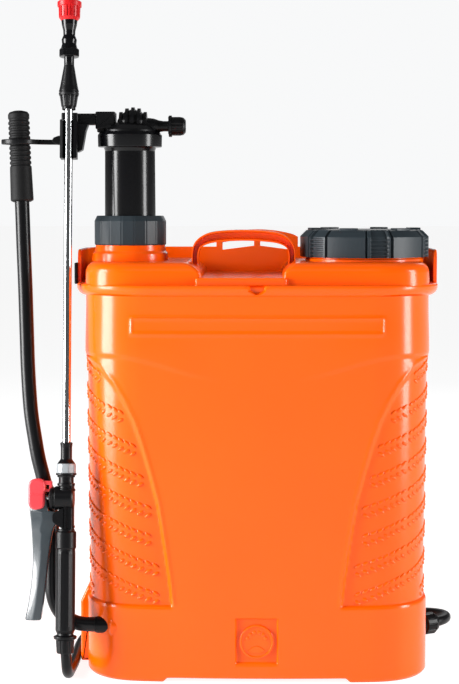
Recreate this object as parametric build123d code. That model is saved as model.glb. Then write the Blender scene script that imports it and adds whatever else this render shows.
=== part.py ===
"""Backpack (knapsack) sprayer, 16 litre class, hand pump and battery pump, in millimetres.

Frame: +Z is up, the wearer is at +Y, and +X is at the right of someone who faces the tank from behind the
wearer. The origin is the centre of the underside of the base.
"""
from build123d import *
import math
import os

# ---- driving dimensions -------------------------------------------------------------------------------
WALL = 3.0                      # blow-moulded tank wall
BODY_HALF_WIDTH = 177.0
BODY_FRONT, BODY_REAR = -108.0, 95.0
CORNER_RADIUS = 48.0
TANK_FLOOR = 88.0               # underside of the tank floor, over the base cavity
COLLAR_BOTTOM, COLLAR_TOP = 392.0, 404.0
DECK_TOP = 426.5
DECK_HALF_WIDTH = 181.5
DECK_FRONT, DECK_REAR = -103.0, 88.0
RIM_HALF_WIDTH = 190.0
RIM_FRONT, RIM_REAR = -112.0, 97.0
RIM_WALL = 3.5
SIDE_WALL_TOP = 438.0
SIDE_WALL_FRONT = -28.0
ARCH_HALF_WIDTH = 45.5
ARCH_END, ARCH_APEX = 451.0, 457.5
VALLEY_TOP_LEFT, VALLEY_TOP_RIGHT = -65.5, 33.5
VALLEY_LOW_LEFT, VALLEY_LOW_RIGHT = -53.0, 24.0
VALLEY_FLOOR = 412.0

RIM_SLOT = [(3.5, 440), (3.5, 449), (38.5, 443), (38.5, 435)]  # the slot on each side of the arch

COVER_TOP = 3.0                 # upper face of the base cover
SCREW_SPOTS = [(-90, -92), (120, -85), (-120, 72), (120, 72)]
SCREW_RADIUS, SCREW_HEAD_RADIUS, SCREW_BOSS_RADIUS = 2.0, 4.0, 6.0
MEDALLION_Z, MEDALLION_RADIUS, MEDALLION_HALF = 42.5, 17.5, 1.5
OUTLET_Y, OUTLET_Z = 4.0, 33.0  # the liquid outlet in the right side of the base
OUTLET_TURN = 30.0              # degrees that the outlet nut swings towards the wearer
SWITCH_X = 0.0                  # middle of the switch panel
PANEL_LOW, PANEL_HIGH = 24.0, 64.0
PORT_Z, PORT_RADIUS = 44.0, 5.4

PUMP_X, PUMP_Y = -133.0, -20.0  # axis of the hand pump and its air chamber
NECK_RADIUS = 38.0
NECK_TOP = 442.0
CYLINDER_RADIUS = 25.0
CHAMBER_RADIUS = 26.5
CHAMBER_FLANGE_RADIUS = 33.5
NUT_RADIUS = 37.7
NUT_TOP = 473.0
CHAMBER_TOP = 544.0
FLANGE_TOP = 560.0
FOOT_VALVE_Z = 260.0
PISTON_TOP = 240.0
PISTON_HEIGHT = 22.0
PUMP_OUTLET_Z = 566.0           # the capped side outlet of the pump head

CAP_X, CAP_Y = 112.0, -20.0     # axis of the filler opening
CAP_RADIUS = 67.2
CAP_BOTTOM, CAP_TOP = 430.5, 459.0
FILLER_RADIUS = 57.0

SHAFT_Y, SHAFT_Z = -88.0, 54.0  # lever shaft, along X
SHAFT_RADIUS = 7.5
LEVER_WALL = 1.5
CRANK_LENGTH = 70.0
CRANK_REST = 25.0               # degrees that the crank points above level with the lever stowed
YOKE_Z = SHAFT_Z + CRANK_LENGTH * math.sin(math.radians(CRANK_REST))
LEVER_SLOPE = 0.0988            # how far the stowed lever leans to the wearer, per unit of height
LEVER_HOOK_Z = 549.0
GRIP_LENGTH, GRIP_RADIUS = 92.0, 11.3

LEAN = math.atan(0.1323)        # the stowed lance leans away from the wearer at its foot
LANCE_FOOT = (-194.2, -116.0, 31.0)
HOSE_DIAMETER = 11.0
TUBE_RADIUS = 4.2
VALVE_STATION = 157.0           # height of the trigger valve up the lance
CLIP_STATION = 525.0            # distance up the lance to its clip
TRIGGER_PIVOT = (-8.5, 137.0)   # sideways and up the lance from its foot

STRAP_X = 85.0                  # each strap is this far from the middle
STRAP_BACK = RIM_REAR + 0.3
PAD_HALF_WIDTH, WEBBING_HALF_WIDTH = 30.0, 15.0


# ---- helpers ------------------------------------------------------------------------------------------
def block(x0, x1, y0, y1, z0, z1):
    """A box between two corners."""
    return Pos((x0 + x1) / 2, (y0 + y1) / 2, (z0 + z1) / 2) * Box(x1 - x0, y1 - y0, z1 - z0)


def rounded_block(half_width, y0, y1, z0, z1, radius):
    """A box with round vertical corners, centred on X."""
    outline = RectangleRounded(2 * half_width, y1 - y0, radius)
    return Pos(0, (y0 + y1) / 2, z0) * extrude(outline, z1 - z0)


def rod(x, y, z0, z1, radius):
    """An upright cylinder."""
    return Pos(x, y, (z0 + z1) / 2) * Cylinder(radius, z1 - z0)


def ring(x, y, z0, z1, outer, inner):
    """An upright tube."""
    return rod(x, y, z0, z1, outer) - rod(x, y, z0, z1, inner)


def rod_x(x0, x1, y, z, radius):
    """A cylinder along X."""
    return Pos((x0 + x1) / 2, y, z) * Rot(0, 90, 0) * Cylinder(radius, x1 - x0)


def rod_y(x, y0, y1, z, radius):
    """A cylinder along Y."""
    return Pos(x, (y0 + y1) / 2, z) * Rot(90, 0, 0) * Cylinder(radius, y1 - y0)


def plate_xz(points, y0, y1):
    """A flat plate with a straight-sided outline in the XZ plane."""
    outline = make_face(Polyline(*[(x, 0, z) for x, z in points], close=True))
    return Pos(0, y0, 0) * extrude(outline, y1 - y0, dir=(0, 1, 0))


def turned(stations):
    """A solid of revolution about Z from (height, radius) pairs, bottom to top."""
    points = [(0, 0, stations[0][0])] + [(r, 0, z) for z, r in stations] + [(0, 0, stations[-1][0])]
    return revolve(make_face(Polyline(*points, close=True)), Axis.Z)


def bored(stations, radius, margin=1.0):
    """A turned solid with a hole all along its axis."""
    low, high = stations[0][0], stations[-1][0]
    return turned(stations) - rod(0, 0, low - margin, high + margin, radius)


def on_lance(shape):
    """Moves a shape from the lance's own frame (its axis along Z) to its stowed place."""
    return Pos(*LANCE_FOOT) * Rot(-math.degrees(LEAN), 0, 0) * shape


def lance_point(x, y, station):
    """A point given in the lance's own frame, in the sprayer's frame."""
    c, s = math.cos(LEAN), math.sin(LEAN)
    return (LANCE_FOOT[0] + x, LANCE_FOOT[1] + y * c + station * s, LANCE_FOOT[2] - y * s + station * c)


def tube_along(points, radii, radius):
    """A round rod along straight runs joined by tangent arcs."""
    path = FilletPolyline(*points, radius=radii)
    start = Plane(origin=path @ 0, z_dir=path % 0)
    return sweep(start * Circle(radius), path=path)


parts = {}

# ---- tank -----------------------------------------------------------------------------------------------
def make_tank():
    """The blow-moulded tank: body, deck with its valley, and the open base."""
    body = rounded_block(BODY_HALF_WIDTH, BODY_FRONT, BODY_REAR, 0, COLLAR_BOTTOM, CORNER_RADIUS)
    deck = rounded_block(DECK_HALF_WIDTH, DECK_FRONT, DECK_REAR, COLLAR_BOTTOM, DECK_TOP, 40)
    valley = plate_xz(
        [(VALLEY_TOP_LEFT, DECK_TOP + 1), (VALLEY_LOW_LEFT, VALLEY_FLOOR), (VALLEY_LOW_RIGHT, VALLEY_FLOOR),
         (VALLEY_TOP_RIGHT, DECK_TOP + 1)], DECK_FRONT - 1, DECK_REAR + 1)
    inner_body = rounded_block(BODY_HALF_WIDTH - WALL, BODY_FRONT + WALL, BODY_REAR - WALL,
                               TANK_FLOOR + WALL, COLLAR_BOTTOM, CORNER_RADIUS - WALL)
    inner_deck = rounded_block(DECK_HALF_WIDTH - 8, DECK_FRONT + WALL + 1, DECK_REAR - WALL - 1,
                               COLLAR_BOTTOM, DECK_TOP - WALL, 36)
    valley_wall = block(VALLEY_TOP_LEFT - WALL, VALLEY_TOP_RIGHT + WALL, DECK_FRONT, DECK_REAR,
                        VALLEY_FLOOR - WALL, DECK_TOP)
    cavity = rounded_block(BODY_HALF_WIDTH - WALL, BODY_FRONT + WALL, BODY_REAR - WALL,
                           -1, TANK_FLOOR, CORNER_RADIUS - WALL)
    tank = body + deck - valley - inner_body - (inner_deck - valley_wall) - cavity
    # openings in the deck under the two necks
    tank -= rod(PUMP_X, PUMP_Y, DECK_TOP - 2 * WALL, DECK_TOP + 1, CYLINDER_RADIUS + 3.5)
    tank -= rod(CAP_X, CAP_Y, DECK_TOP - 2 * WALL, DECK_TOP + 1, FILLER_RADIUS - 4)
    # pump hole in the tank floor, shaft hole, outlet hole and switch window in the base
    tank -= rod(PUMP_X, PUMP_Y, TANK_FLOOR - 1, TANK_FLOOR + WALL + 1, CYLINDER_RADIUS)
    tank -= rod_x(-BODY_HALF_WIDTH - 9, -140, SHAFT_Y, SHAFT_Z, SHAFT_RADIUS + 3)
    tank -= rod_x(160, BODY_HALF_WIDTH + 9, OUTLET_Y, OUTLET_Z, 8)
    tank -= block(SWITCH_X - 30, SWITCH_X + 30, BODY_REAR - WALL - 1, BODY_REAR + 1, PANEL_LOW, PANEL_HIGH)
    # square recess for the medallion, and the bulge over the hose at the left of the base
    tank -= block(-22, 22, BODY_FRONT - 1, BODY_FRONT + 1.5, 19, 67)
    tank += block(-185, -BODY_HALF_WIDTH + 1, -42, 45, 4, 80)
    return tank


parts["tank_shell"] = make_tank()

# the two necks that stand on the deck
pump_neck = rod(PUMP_X, PUMP_Y, DECK_TOP, NECK_TOP - 8, NECK_RADIUS + 1)
pump_neck += rod(PUMP_X, PUMP_Y, DECK_TOP, NECK_TOP, NECK_RADIUS - 2)
pump_neck -= rod(PUMP_X, PUMP_Y, DECK_TOP - 1, NECK_TOP + 1, CYLINDER_RADIUS + 3.5)
filler_neck = ring(CAP_X, CAP_Y, DECK_TOP, CAP_TOP - 8, FILLER_RADIUS, FILLER_RADIUS - 4)
parts["neck_collars"] = Compound(children=[pump_neck, filler_neck])


def make_rim_guard():
    """The collar round the deck, the low wall behind it, and the arch with two slots."""
    collar = rounded_block(RIM_HALF_WIDTH, RIM_FRONT, RIM_REAR, COLLAR_BOTTOM, COLLAR_TOP, CORNER_RADIUS)
    collar -= rounded_block(DECK_HALF_WIDTH, DECK_FRONT, DECK_REAR, COLLAR_BOTTOM - 1, COLLAR_TOP + 1, 40)
    wall = rounded_block(RIM_HALF_WIDTH, RIM_FRONT, RIM_REAR, COLLAR_TOP, SIDE_WALL_TOP, CORNER_RADIUS)
    wall -= rounded_block(RIM_HALF_WIDTH - RIM_WALL, RIM_FRONT + RIM_WALL, RIM_REAR - RIM_WALL,
                          COLLAR_TOP - 1, SIDE_WALL_TOP + 1, CORNER_RADIUS - RIM_WALL)
    wall -= block(-RIM_HALF_WIDTH - 1, RIM_HALF_WIDTH + 1, RIM_FRONT - 1, SIDE_WALL_FRONT,
                  COLLAR_TOP, SIDE_WALL_TOP + 1)
    arch = plate_xz(
        [(-ARCH_HALF_WIDTH, SIDE_WALL_TOP - 5), (-ARCH_HALF_WIDTH, ARCH_END), (0, ARCH_APEX),
         (ARCH_HALF_WIDTH, ARCH_END), (ARCH_HALF_WIDTH, SIDE_WALL_TOP - 5)], RIM_REAR - 6, RIM_REAR)
    for side in (-1, 1):
        slot = plate_xz([(side * x, z) for x, z in RIM_SLOT], RIM_REAR - 7, RIM_REAR + 1)
        arch -= slot
        wall -= slot
    return collar + wall + arch


parts["rim_guard"] = make_rim_guard()


def make_carry_handle():
    """An arch with a channel section: two flanges joined by a recessed web."""
    centre, y0, y1 = -14.0, -47.0, -15.0
    outer = [(-53, 426.5), (-53, 440), (-48, 448), (-37, 454), (-15, 458.5),
             (15, 458.5), (37, 454), (48, 448), (53, 440), (53, 426.5)]
    inner = [(-47, 425), (-47, 437), (-38, 443), (-24, 447.5), (24, 447.5), (38, 443), (47, 437), (47, 425)]
    hollow = [(-50.5, 428), (-50.5, 439), (-46, 446), (-36, 451.5), (-14, 455.5),
              (14, 455.5), (36, 451.5), (46, 446), (50.5, 439), (50.5, 428)]
    inner_wall = [(-49, 425), (-49, 438), (-39, 445), (-24, 449.5),
                  (24, 449.5), (39, 445), (49, 438), (49, 425)]
    shape = plate_xz(outer, y0, y1) - plate_xz(inner, y0 - 1, y1 + 1)
    channel = plate_xz(hollow, y0 - 1, y0 + 12) - plate_xz(inner_wall, y0 - 2, y0 + 13)
    return Pos(centre, 0, 0) * (shape - channel)


parts["carry_handle"] = make_carry_handle()

# ---- base -----------------------------------------------------------------------------------------------
def make_base_cover():
    """The plate that closes the base, with a hollow boss over each screw."""
    cover = rounded_block(BODY_HALF_WIDTH - WALL - 0.2, BODY_FRONT + WALL + 0.2, BODY_REAR - WALL - 0.2,
                          0, COVER_TOP, CORNER_RADIUS - WALL)
    for x, y in SCREW_SPOTS:
        cover += rod(x, y, COVER_TOP, 12, SCREW_BOSS_RADIUS)
        cover -= rod(x, y, -1, 13, SCREW_RADIUS)
        cover -= rod(x, y, -1, 2, SCREW_HEAD_RADIUS + 0.2)
    return cover


parts["base_cover"] = make_base_cover()
screws = [rod(x, y, 0.3, 2, SCREW_HEAD_RADIUS) + rod(x, y, 2, 14, SCREW_RADIUS) for x, y in SCREW_SPOTS]
for x, y in SCREW_SPOTS:
    parts["tank_shell"] += rod(x, y, 12, TANK_FLOOR, SCREW_BOSS_RADIUS) - rod(x, y, 11, 30, SCREW_RADIUS)
parts["base_cover_screws"] = Compound(children=screws)

parts["medallion"] = rod_y(0, BODY_FRONT - MEDALLION_HALF, BODY_FRONT + MEDALLION_HALF, MEDALLION_Z,
                           MEDALLION_RADIUS)

# battery, electric pump, inner hoses and the outlet fitting
parts["battery_pack"] = block(-90, 15, -40, 50, 3, 72)
parts["pump_motor"] = rod_y(75, -10, 60, 34, 21)
parts["pump_head_electric"] = block(52, 98, -52, -10, 13, 55)
parts["outlet_fitting"] = rod_x(120, BODY_HALF_WIDTH, OUTLET_Y, OUTLET_Z, 6) - rod_x(
    119, BODY_HALF_WIDTH + 1, OUTLET_Y, OUTLET_Z, 3)
suction_hose = rod(75, -31, 55, TANK_FLOOR, 5)
delivery_route = [(98, -31), (109, -31), (109, OUTLET_Y), (120, OUTLET_Y)]
delivery_path = FilletPolyline(*[(x, y, OUTLET_Z) for x, y in delivery_route], radius=9)
delivery_hose = sweep(Plane(origin=delivery_path @ 0, z_dir=delivery_path % 0) * Circle(5), path=delivery_path)
parts["inner_hoses"] = Compound(children=[suction_hose, delivery_hose])

# switch panel with rocker, charge port and its flap, on the wearer's side of the base
panel = block(SWITCH_X - 30, SWITCH_X + 30, BODY_REAR - WALL, BODY_REAR + 2,
              PANEL_LOW, PANEL_HIGH)
panel -= block(SWITCH_X - 20, SWITCH_X - 4, BODY_REAR - WALL - 1, BODY_REAR + 3, 33, 57)
panel -= rod_y(SWITCH_X + 15, BODY_REAR - 4, BODY_REAR + 3, PORT_Z, PORT_RADIUS)
parts["switch_panel"] = panel
rocker = rod_x(SWITCH_X - 19, SWITCH_X - 5, BODY_REAR - 1, 45, 7) & block(
    SWITCH_X - 19, SWITCH_X - 5, BODY_REAR - 9, BODY_REAR + 8, 36, 54)
parts["rocker_switch"] = rocker
charge_port = rod_y(SWITCH_X + 15, BODY_REAR - 14, BODY_REAR + 2, PORT_Z, PORT_RADIUS) - rod_y(
    SWITCH_X + 15, BODY_REAR - 8, BODY_REAR + 3, PORT_Z, 3.2)
parts["switch_panel"] += charge_port
flap = block(SWITCH_X + 7, SWITCH_X + 23, BODY_REAR + 2.4, BODY_REAR + 4.4, 36, 53)
flap += rod_x(SWITCH_X + 7, SWITCH_X + 23, BODY_REAR + 3.8, 53, 1.3)
parts["charge_port_flap"] = flap

# ---- hand pump, from the foot of its cylinder up ------------------------------------------------------
cylinder = ring(PUMP_X, PUMP_Y, TANK_FLOOR + WALL, NECK_TOP, CYLINDER_RADIUS + 3, CYLINDER_RADIUS)
cylinder += ring(PUMP_X, PUMP_Y, NECK_TOP, NECK_TOP + 4, NECK_RADIUS - 3, CYLINDER_RADIUS)
cylinder -= rod_y(PUMP_X, PUMP_Y - 40, PUMP_Y - 10, 110, 6)
parts["pump_cylinder"] = cylinder
gland_gasket = ring(PUMP_X, PUMP_Y, NECK_TOP + 4, NECK_TOP + 6, NECK_RADIUS - 3, CHAMBER_RADIUS + 1)
foot = ring(PUMP_X, PUMP_Y, FOOT_VALVE_Z, FOOT_VALVE_Z + 12, CYLINDER_RADIUS - 0.05, 6)
foot += ring(PUMP_X, PUMP_Y, FOOT_VALVE_Z + 12, FOOT_VALVE_Z + 26, 11, 8.5)
parts["chamber_valve_seat"] = foot
parts["valve_ball"] = Pos(PUMP_X, PUMP_Y, FOOT_VALVE_Z + 12 + 5.4) * Sphere(8)

nut_faces = 24
nut = extrude(RegularPolygon(NUT_RADIUS, nut_faces), NUT_TOP - NECK_TOP - 0.5)
nut = chamfer(nut.faces().sort_by(Axis.Z)[-1].edges(), 4)
nut = Pos(PUMP_X, PUMP_Y, NECK_TOP + 0.5) * nut
nut -= rod(PUMP_X, PUMP_Y, NECK_TOP, NECK_TOP + 6, NECK_RADIUS - 1.9)
nut -= rod(PUMP_X, PUMP_Y, NECK_TOP, NUT_TOP + 1, CHAMBER_RADIUS + 0.2)
parts["pump_gland_nut"] = nut

chamber = ring(PUMP_X, PUMP_Y, NECK_TOP + 6, CHAMBER_TOP, CHAMBER_RADIUS, CHAMBER_RADIUS - 3)
chamber += ring(PUMP_X, PUMP_Y, NECK_TOP + 6, NECK_TOP + 10, CHAMBER_RADIUS + 5, CHAMBER_RADIUS - 3)
nut_room = ring(PUMP_X, PUMP_Y, NECK_TOP + 5, NECK_TOP + 10.2, CHAMBER_RADIUS + 5.2, CHAMBER_RADIUS)
parts["pump_gland_nut"] -= nut_room
chamber += ring(PUMP_X, PUMP_Y, CHAMBER_TOP, FLANGE_TOP, CHAMBER_FLANGE_RADIUS, CHAMBER_RADIUS - 3)
parts["air_chamber"] = chamber
head_o_ring = ring(PUMP_X, PUMP_Y, FLANGE_TOP - 4, FLANGE_TOP, CHAMBER_RADIUS - 3, CHAMBER_RADIUS - 6)
parts["pump_seals"] = Compound(children=[gland_gasket, head_o_ring])

HEAD_Y0, HEAD_Y1 = PUMP_Y - 14, PUMP_Y + 14
head = rod(PUMP_X, PUMP_Y, FLANGE_TOP, FLANGE_TOP + 9.5, 18.5)
head += Pos(PUMP_X + 3.5, 0, FLANGE_TOP + 9.5) * rod_y(0, HEAD_Y0, HEAD_Y1, 0, 16)
head += block(-168, -148, HEAD_Y0, HEAD_Y1, FLANGE_TOP + 3, 580.5)
head += block(-200, -160, PUMP_Y - 8, PUMP_Y + 2, 567, 579)
head += rod_x(-116, -101, PUMP_Y, PUMP_OUTLET_Z, 8) + rod_x(-101, -93, PUMP_Y, PUMP_OUTLET_Z, 5)
head += rod_x(-93, -89, PUMP_Y, PUMP_OUTLET_Z, 11.5)
head -= block(-220, -60, -60, 20, FLANGE_TOP - 20, FLANGE_TOP)
parts["pump_head"] = head
parts["outlet_cap"] = rod_x(-89, -79, PUMP_Y, PUMP_OUTLET_Z, 9.7) + rod_x(-79, -74.5, PUMP_Y, PUMP_OUTLET_Z, 8)

# lance clip on the arm, and the hook that holds the stowed lever
clip_y = lance_point(0, 0, CLIP_STATION)[1]
clip = block(-204, -184, clip_y + 6.5, PUMP_Y - 8, 534, 579)
jaw = Cylinder(8.0, 30) - Pos(0, -7, 0) * Box(6.5, 14, 31)
clip = clip + on_lance(Pos(0, 0, CLIP_STATION) * jaw) - on_lance(Pos(0, 0, CLIP_STATION) * Cylinder(4.5, 80))
parts["lance_clip"] = clip
LEVER_X_AT_HOOK, LEVER_Y_AT_HOOK = -246.0, SHAFT_Y + (LEVER_HOOK_Z - SHAFT_Z) * LEVER_SLOPE
hook = ring(LEVER_X_AT_HOOK, LEVER_Y_AT_HOOK, LEVER_HOOK_Z - 3.5, LEVER_HOOK_Z + 3.5, 19, 13.5)
hook -= block(LEVER_X_AT_HOOK - 13, LEVER_X_AT_HOOK + 13, LEVER_Y_AT_HOOK, LEVER_Y_AT_HOOK + 25,
              LEVER_HOOK_Z - 5, LEVER_HOOK_Z + 5)
hook += block(LEVER_X_AT_HOOK + 15, -204, LEVER_Y_AT_HOOK + 2, LEVER_Y_AT_HOOK + 10,
              LEVER_HOOK_Z - 3.5, LEVER_HOOK_Z + 3.5)
hook += rod_x(-212, -204, LEVER_Y_AT_HOOK + 6, LEVER_HOOK_Z + 2, 5.3)
parts["lever_hook"] = hook

# piston, rod and crank
parts["piston"] = rod(PUMP_X, PUMP_Y, PISTON_TOP - PISTON_HEIGHT, PISTON_TOP, CYLINDER_RADIUS - 1.2)
cup = ring(PUMP_X, PUMP_Y, PISTON_TOP, PISTON_TOP + 8, CYLINDER_RADIUS - 0.05, CYLINDER_RADIUS - 4)
cup += rod(PUMP_X, PUMP_Y, PISTON_TOP, PISTON_TOP + 2.5, CYLINDER_RADIUS - 0.05)
parts["piston_cup"] = cup
yoke = rod(PUMP_X, PUMP_Y, YOKE_Z + 7, PISTON_TOP - PISTON_HEIGHT, 6)
yoke += block(PUMP_X - 5, PUMP_X + 5, PUMP_Y - 15, PUMP_Y + 15, YOKE_Z - 9, YOKE_Z + 9)
slot_half = 7.5
yoke -= block(PUMP_X - 6, PUMP_X + 6, PUMP_Y - slot_half, PUMP_Y + slot_half, YOKE_Z - 4.8, YOKE_Z + 4.8)
for end in (-1, 1):
    yoke -= rod_x(PUMP_X - 6, PUMP_X + 6, PUMP_Y + end * slot_half, YOKE_Z, 4.8)
parts["piston_rod"] = yoke

CRANK_X0, CRANK_X1 = PUMP_X - 14, PUMP_X - 6
pin_y = SHAFT_Y + CRANK_LENGTH * math.cos(math.radians(CRANK_REST))
crank = Box(CRANK_X1 - CRANK_X0, CRANK_LENGTH, 12)
crank = Pos(0, CRANK_LENGTH / 2, 0) * crank + Rot(0, 90, 0) * Cylinder(13, CRANK_X1 - CRANK_X0)
crank += Pos(0, CRANK_LENGTH, 0) * Rot(0, 90, 0) * Cylinder(8, CRANK_X1 - CRANK_X0)
crank = Pos((CRANK_X0 + CRANK_X1) / 2, SHAFT_Y, SHAFT_Z) * Rot(CRANK_REST, 0, 0) * crank
crank -= rod_x(CRANK_X0 - 1, CRANK_X1 + 1, SHAFT_Y, SHAFT_Z, SHAFT_RADIUS)
parts["crank_arm"] = crank + rod_x(CRANK_X0 - 3, PUMP_X + 8, pin_y, YOKE_Z, 4)

# lever: a cranked steel tube from the shaft inside the base up to the grip
LEVER_ROUTE = [(-112, 0), (-210.5, 0), (-210.5, 112), (-234, 228), (-240, 325), (-247, 523)]
route = [(x, SHAFT_Y + LEVER_SLOPE * h, SHAFT_Z + h) for x, h in LEVER_ROUTE]
LEVER_BENDS = [39, 90, 120, 200]
parts["lever_tube"] = tube_along(route, LEVER_BENDS, SHAFT_RADIUS) - tube_along(
    route, LEVER_BENDS, SHAFT_RADIUS - LEVER_WALL)
top, low = Vector(*route[-1]), Vector(*route[-2])
along = (top - low).normalized()
grip_plane = Plane(origin=top + along * 3, z_dir=along * -1)
grip = extrude(grip_plane * Circle(GRIP_RADIUS), GRIP_LENGTH)
core = extrude(grip_plane.offset(3) * Circle(SHAFT_RADIUS), GRIP_LENGTH - 1)
parts["lever_grip"] = grip - core
bush_outer = ring(0, 0, -6, 6, SHAFT_RADIUS + 3, SHAFT_RADIUS + 0.06)
parts["lever_bushings"] = Compound(children=[
    Pos(x, SHAFT_Y, SHAFT_Z) * Rot(0, 90, 0) * bush_outer for x in (-159, -122)])
parts["shaft_bracket"] = block(-126, -118, SHAFT_Y - 14, SHAFT_Y + 14, COVER_TOP, SHAFT_Z + 14) - rod_x(
    -127, -117, SHAFT_Y, SHAFT_Z, SHAFT_RADIUS + 3)

# ---- filler ---------------------------------------------------------------------------------------------
basket = rod(CAP_X, CAP_Y, 370, CAP_TOP - 8, FILLER_RADIUS - 4.4) - rod(
    CAP_X, CAP_Y, 372, CAP_TOP, FILLER_RADIUS - 6.4)
basket += ring(CAP_X, CAP_Y, CAP_TOP - 8, CAP_TOP - 6.5, FILLER_RADIUS, FILLER_RADIUS - 6.4)
parts["filler_strainer"] = basket
parts["filler_gasket"] = ring(CAP_X, CAP_Y, CAP_TOP - 6.2, CAP_TOP - 3.4, FILLER_RADIUS, FILLER_RADIUS - 7)
cap_body = rod(CAP_X, CAP_Y, CAP_BOTTOM, CAP_TOP, CAP_RADIUS)
cap_body = chamfer(cap_body.faces().sort_by(Axis.Z)[-1].edges(), 4)
cap_body -= rod(CAP_X, CAP_Y, CAP_BOTTOM - 1, CAP_TOP - 3.2, FILLER_RADIUS + 0.6)
for angle in range(0, 360, 30):
    notch = Rot(0, 0, angle) * Pos(CAP_RADIUS, 0, 0) * Box(4, 14, 24)
    cap_body -= Pos(CAP_X, CAP_Y, CAP_BOTTOM + 12) * notch
for angle in (80, 200, 320):
    lug = Rot(0, 0, angle) * Pos(44, 0, 0) * Box(24, 10, 3)
    cap_body += Pos(CAP_X, CAP_Y, CAP_TOP + 0.5) * lug
parts["filler_cap"] = cap_body

# ---- lance, nozzle and trigger valve, made upright and then leaned --------------------------------------
parts["lance_tube"] = on_lance(rod(0, 0, 186, 602, TUBE_RADIUS) - rod(0, 0, 185, 603, 2.9))
parts["lance_socket"] = on_lance(bored([(180.2, 10.4), (182.7, 10.4), (182.7, 9.4), (192, 9.4), (196, 5.8),
                                        (209, 5.8), (213, 6.4)], TUBE_RADIUS))
parts["lance_seal"] = on_lance(ring(0, 0, 178.2, 180.2, 9, 3))
parts["nozzle_socket"] = on_lance(bored([(556, 6.8), (558.6, 6.8), (558.6, 7.6), (570, 9.5), (571.6, 10.2),
                                         (575.3, 10.2), (580, 8.9), (600.5, 5.2), (604, 5.2)], TUBE_RADIUS))
nozzle = [(604, 5.2), (610.5, 5.2), (610.5, 10), (619, 10), (619, 8.2), (628, 8.2), (632, 6.4), (638, 6.4),
          (649, 8.4)]
parts["nozzle_body"] = on_lance(bored(nozzle, 2.9))
parts["nozzle_disc"] = on_lance(ring(0, 0, 649, 651, 8.4, 1))
parts["nozzle_cap"] = on_lance(bored([(651, 11.2), (663, 11.2), (663, 12.6), (668.5, 12.6)], 5))

gun = rod(0, 0, 163, 178.2, 9) + block(-3.5, 7, -6, 6, 122, 172)
gun += rod_x(-16, 7, 0, VALVE_STATION, 12)
gun += rod(0, 0, 106, 124, 10.6)
gun -= rod_x(-13, -2, 0, VALVE_STATION, 6)
gun -= rod_x(-17, -12, 0, VALVE_STATION, 2.45)
gun += block(-34, -15, 7, 10, 150, 160)
gun -= rod(0, 0, 165, 179, 3)
gun += block(-14, -3, -8.5, -6.2, 130, 150) + block(-14, -3, 6.2, 8.5, 130, 150)
gun += block(-4, 4, -8.5, 8.5, 126, 150)
gun -= rod_y(TRIGGER_PIVOT[0], -9, 9, TRIGGER_PIVOT[1], 2.0)
parts["gun_body"] = on_lance(gun)
parts["gun_handle"] = on_lance(rod(0, 0, 21, 106, 10.2) - rod(0, 0, 20, 107, 5))
parts["inline_filter"] = on_lance(rod(0, 0, 40, 100, 4.4))
parts["gun_hose_nut"] = on_lance(bored([(0, 8.5), (18, 11.5), (18, 8), (21, 8)], 5.9))
stem = rod_x(-22.8, -6, 0, VALVE_STATION, 2.4) + rod_x(-22.8, -20.8, 0, VALVE_STATION, 4)
parts["valve_stem"] = on_lance(stem + rod_x(-8, -6, 0, VALVE_STATION, 5.9))
parts["valve_spring"] = on_lance(rod_x(-13, -8, 0, VALVE_STATION, 5.5) - rod_x(-14, -7, 0, VALVE_STATION, 3.5))
trigger = plate_xz([(-37, 143), (-19.9, 143), (-19.9, 163), (-17.2, 163), (-17.2, 143), (-5.5, 142.5),
                    (-5.5, 134), (-10, 130), (-13.5, 124), (-17, 100), (-20, 70), (-24, 36), (-40, 36),
                    (-34, 70), (-33, 100), (-34, 128)], -6, 6)
trigger -= block(-21, -16, -2.8, 2.8, 153, 161)
trigger -= rod_y(TRIGGER_PIVOT[0], -9, 9, TRIGGER_PIVOT[1], 2.03)
parts["trigger"] = on_lance(trigger)
parts["trigger_pin"] = on_lance(rod_y(TRIGGER_PIVOT[0], -8.5, 8.5, TRIGGER_PIVOT[1], 2.0))
parts["trigger_lock"] = on_lance(block(-38, -26, -5, 6.8, 145, 178))

# ---- hose outlet ------------------------------------------------------------------------------------------
nut_turn = Pos(BODY_HALF_WIDTH, OUTLET_Y, OUTLET_Z) * Rot(0, 0, OUTLET_TURN) * Rot(0, 90, 0)
outlet_nut = turned([(-2, 8), (3, 11.8), (15, 11.8), (19, 9)]) - rod(0, 0, 6, 20, HOSE_DIAMETER / 2)
outlet_nut = nut_turn * outlet_nut
outlet_nut -= block(120, BODY_HALF_WIDTH, -60, 60, 0, 80)
parts["outlet_hose_nut"] = outlet_nut

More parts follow.
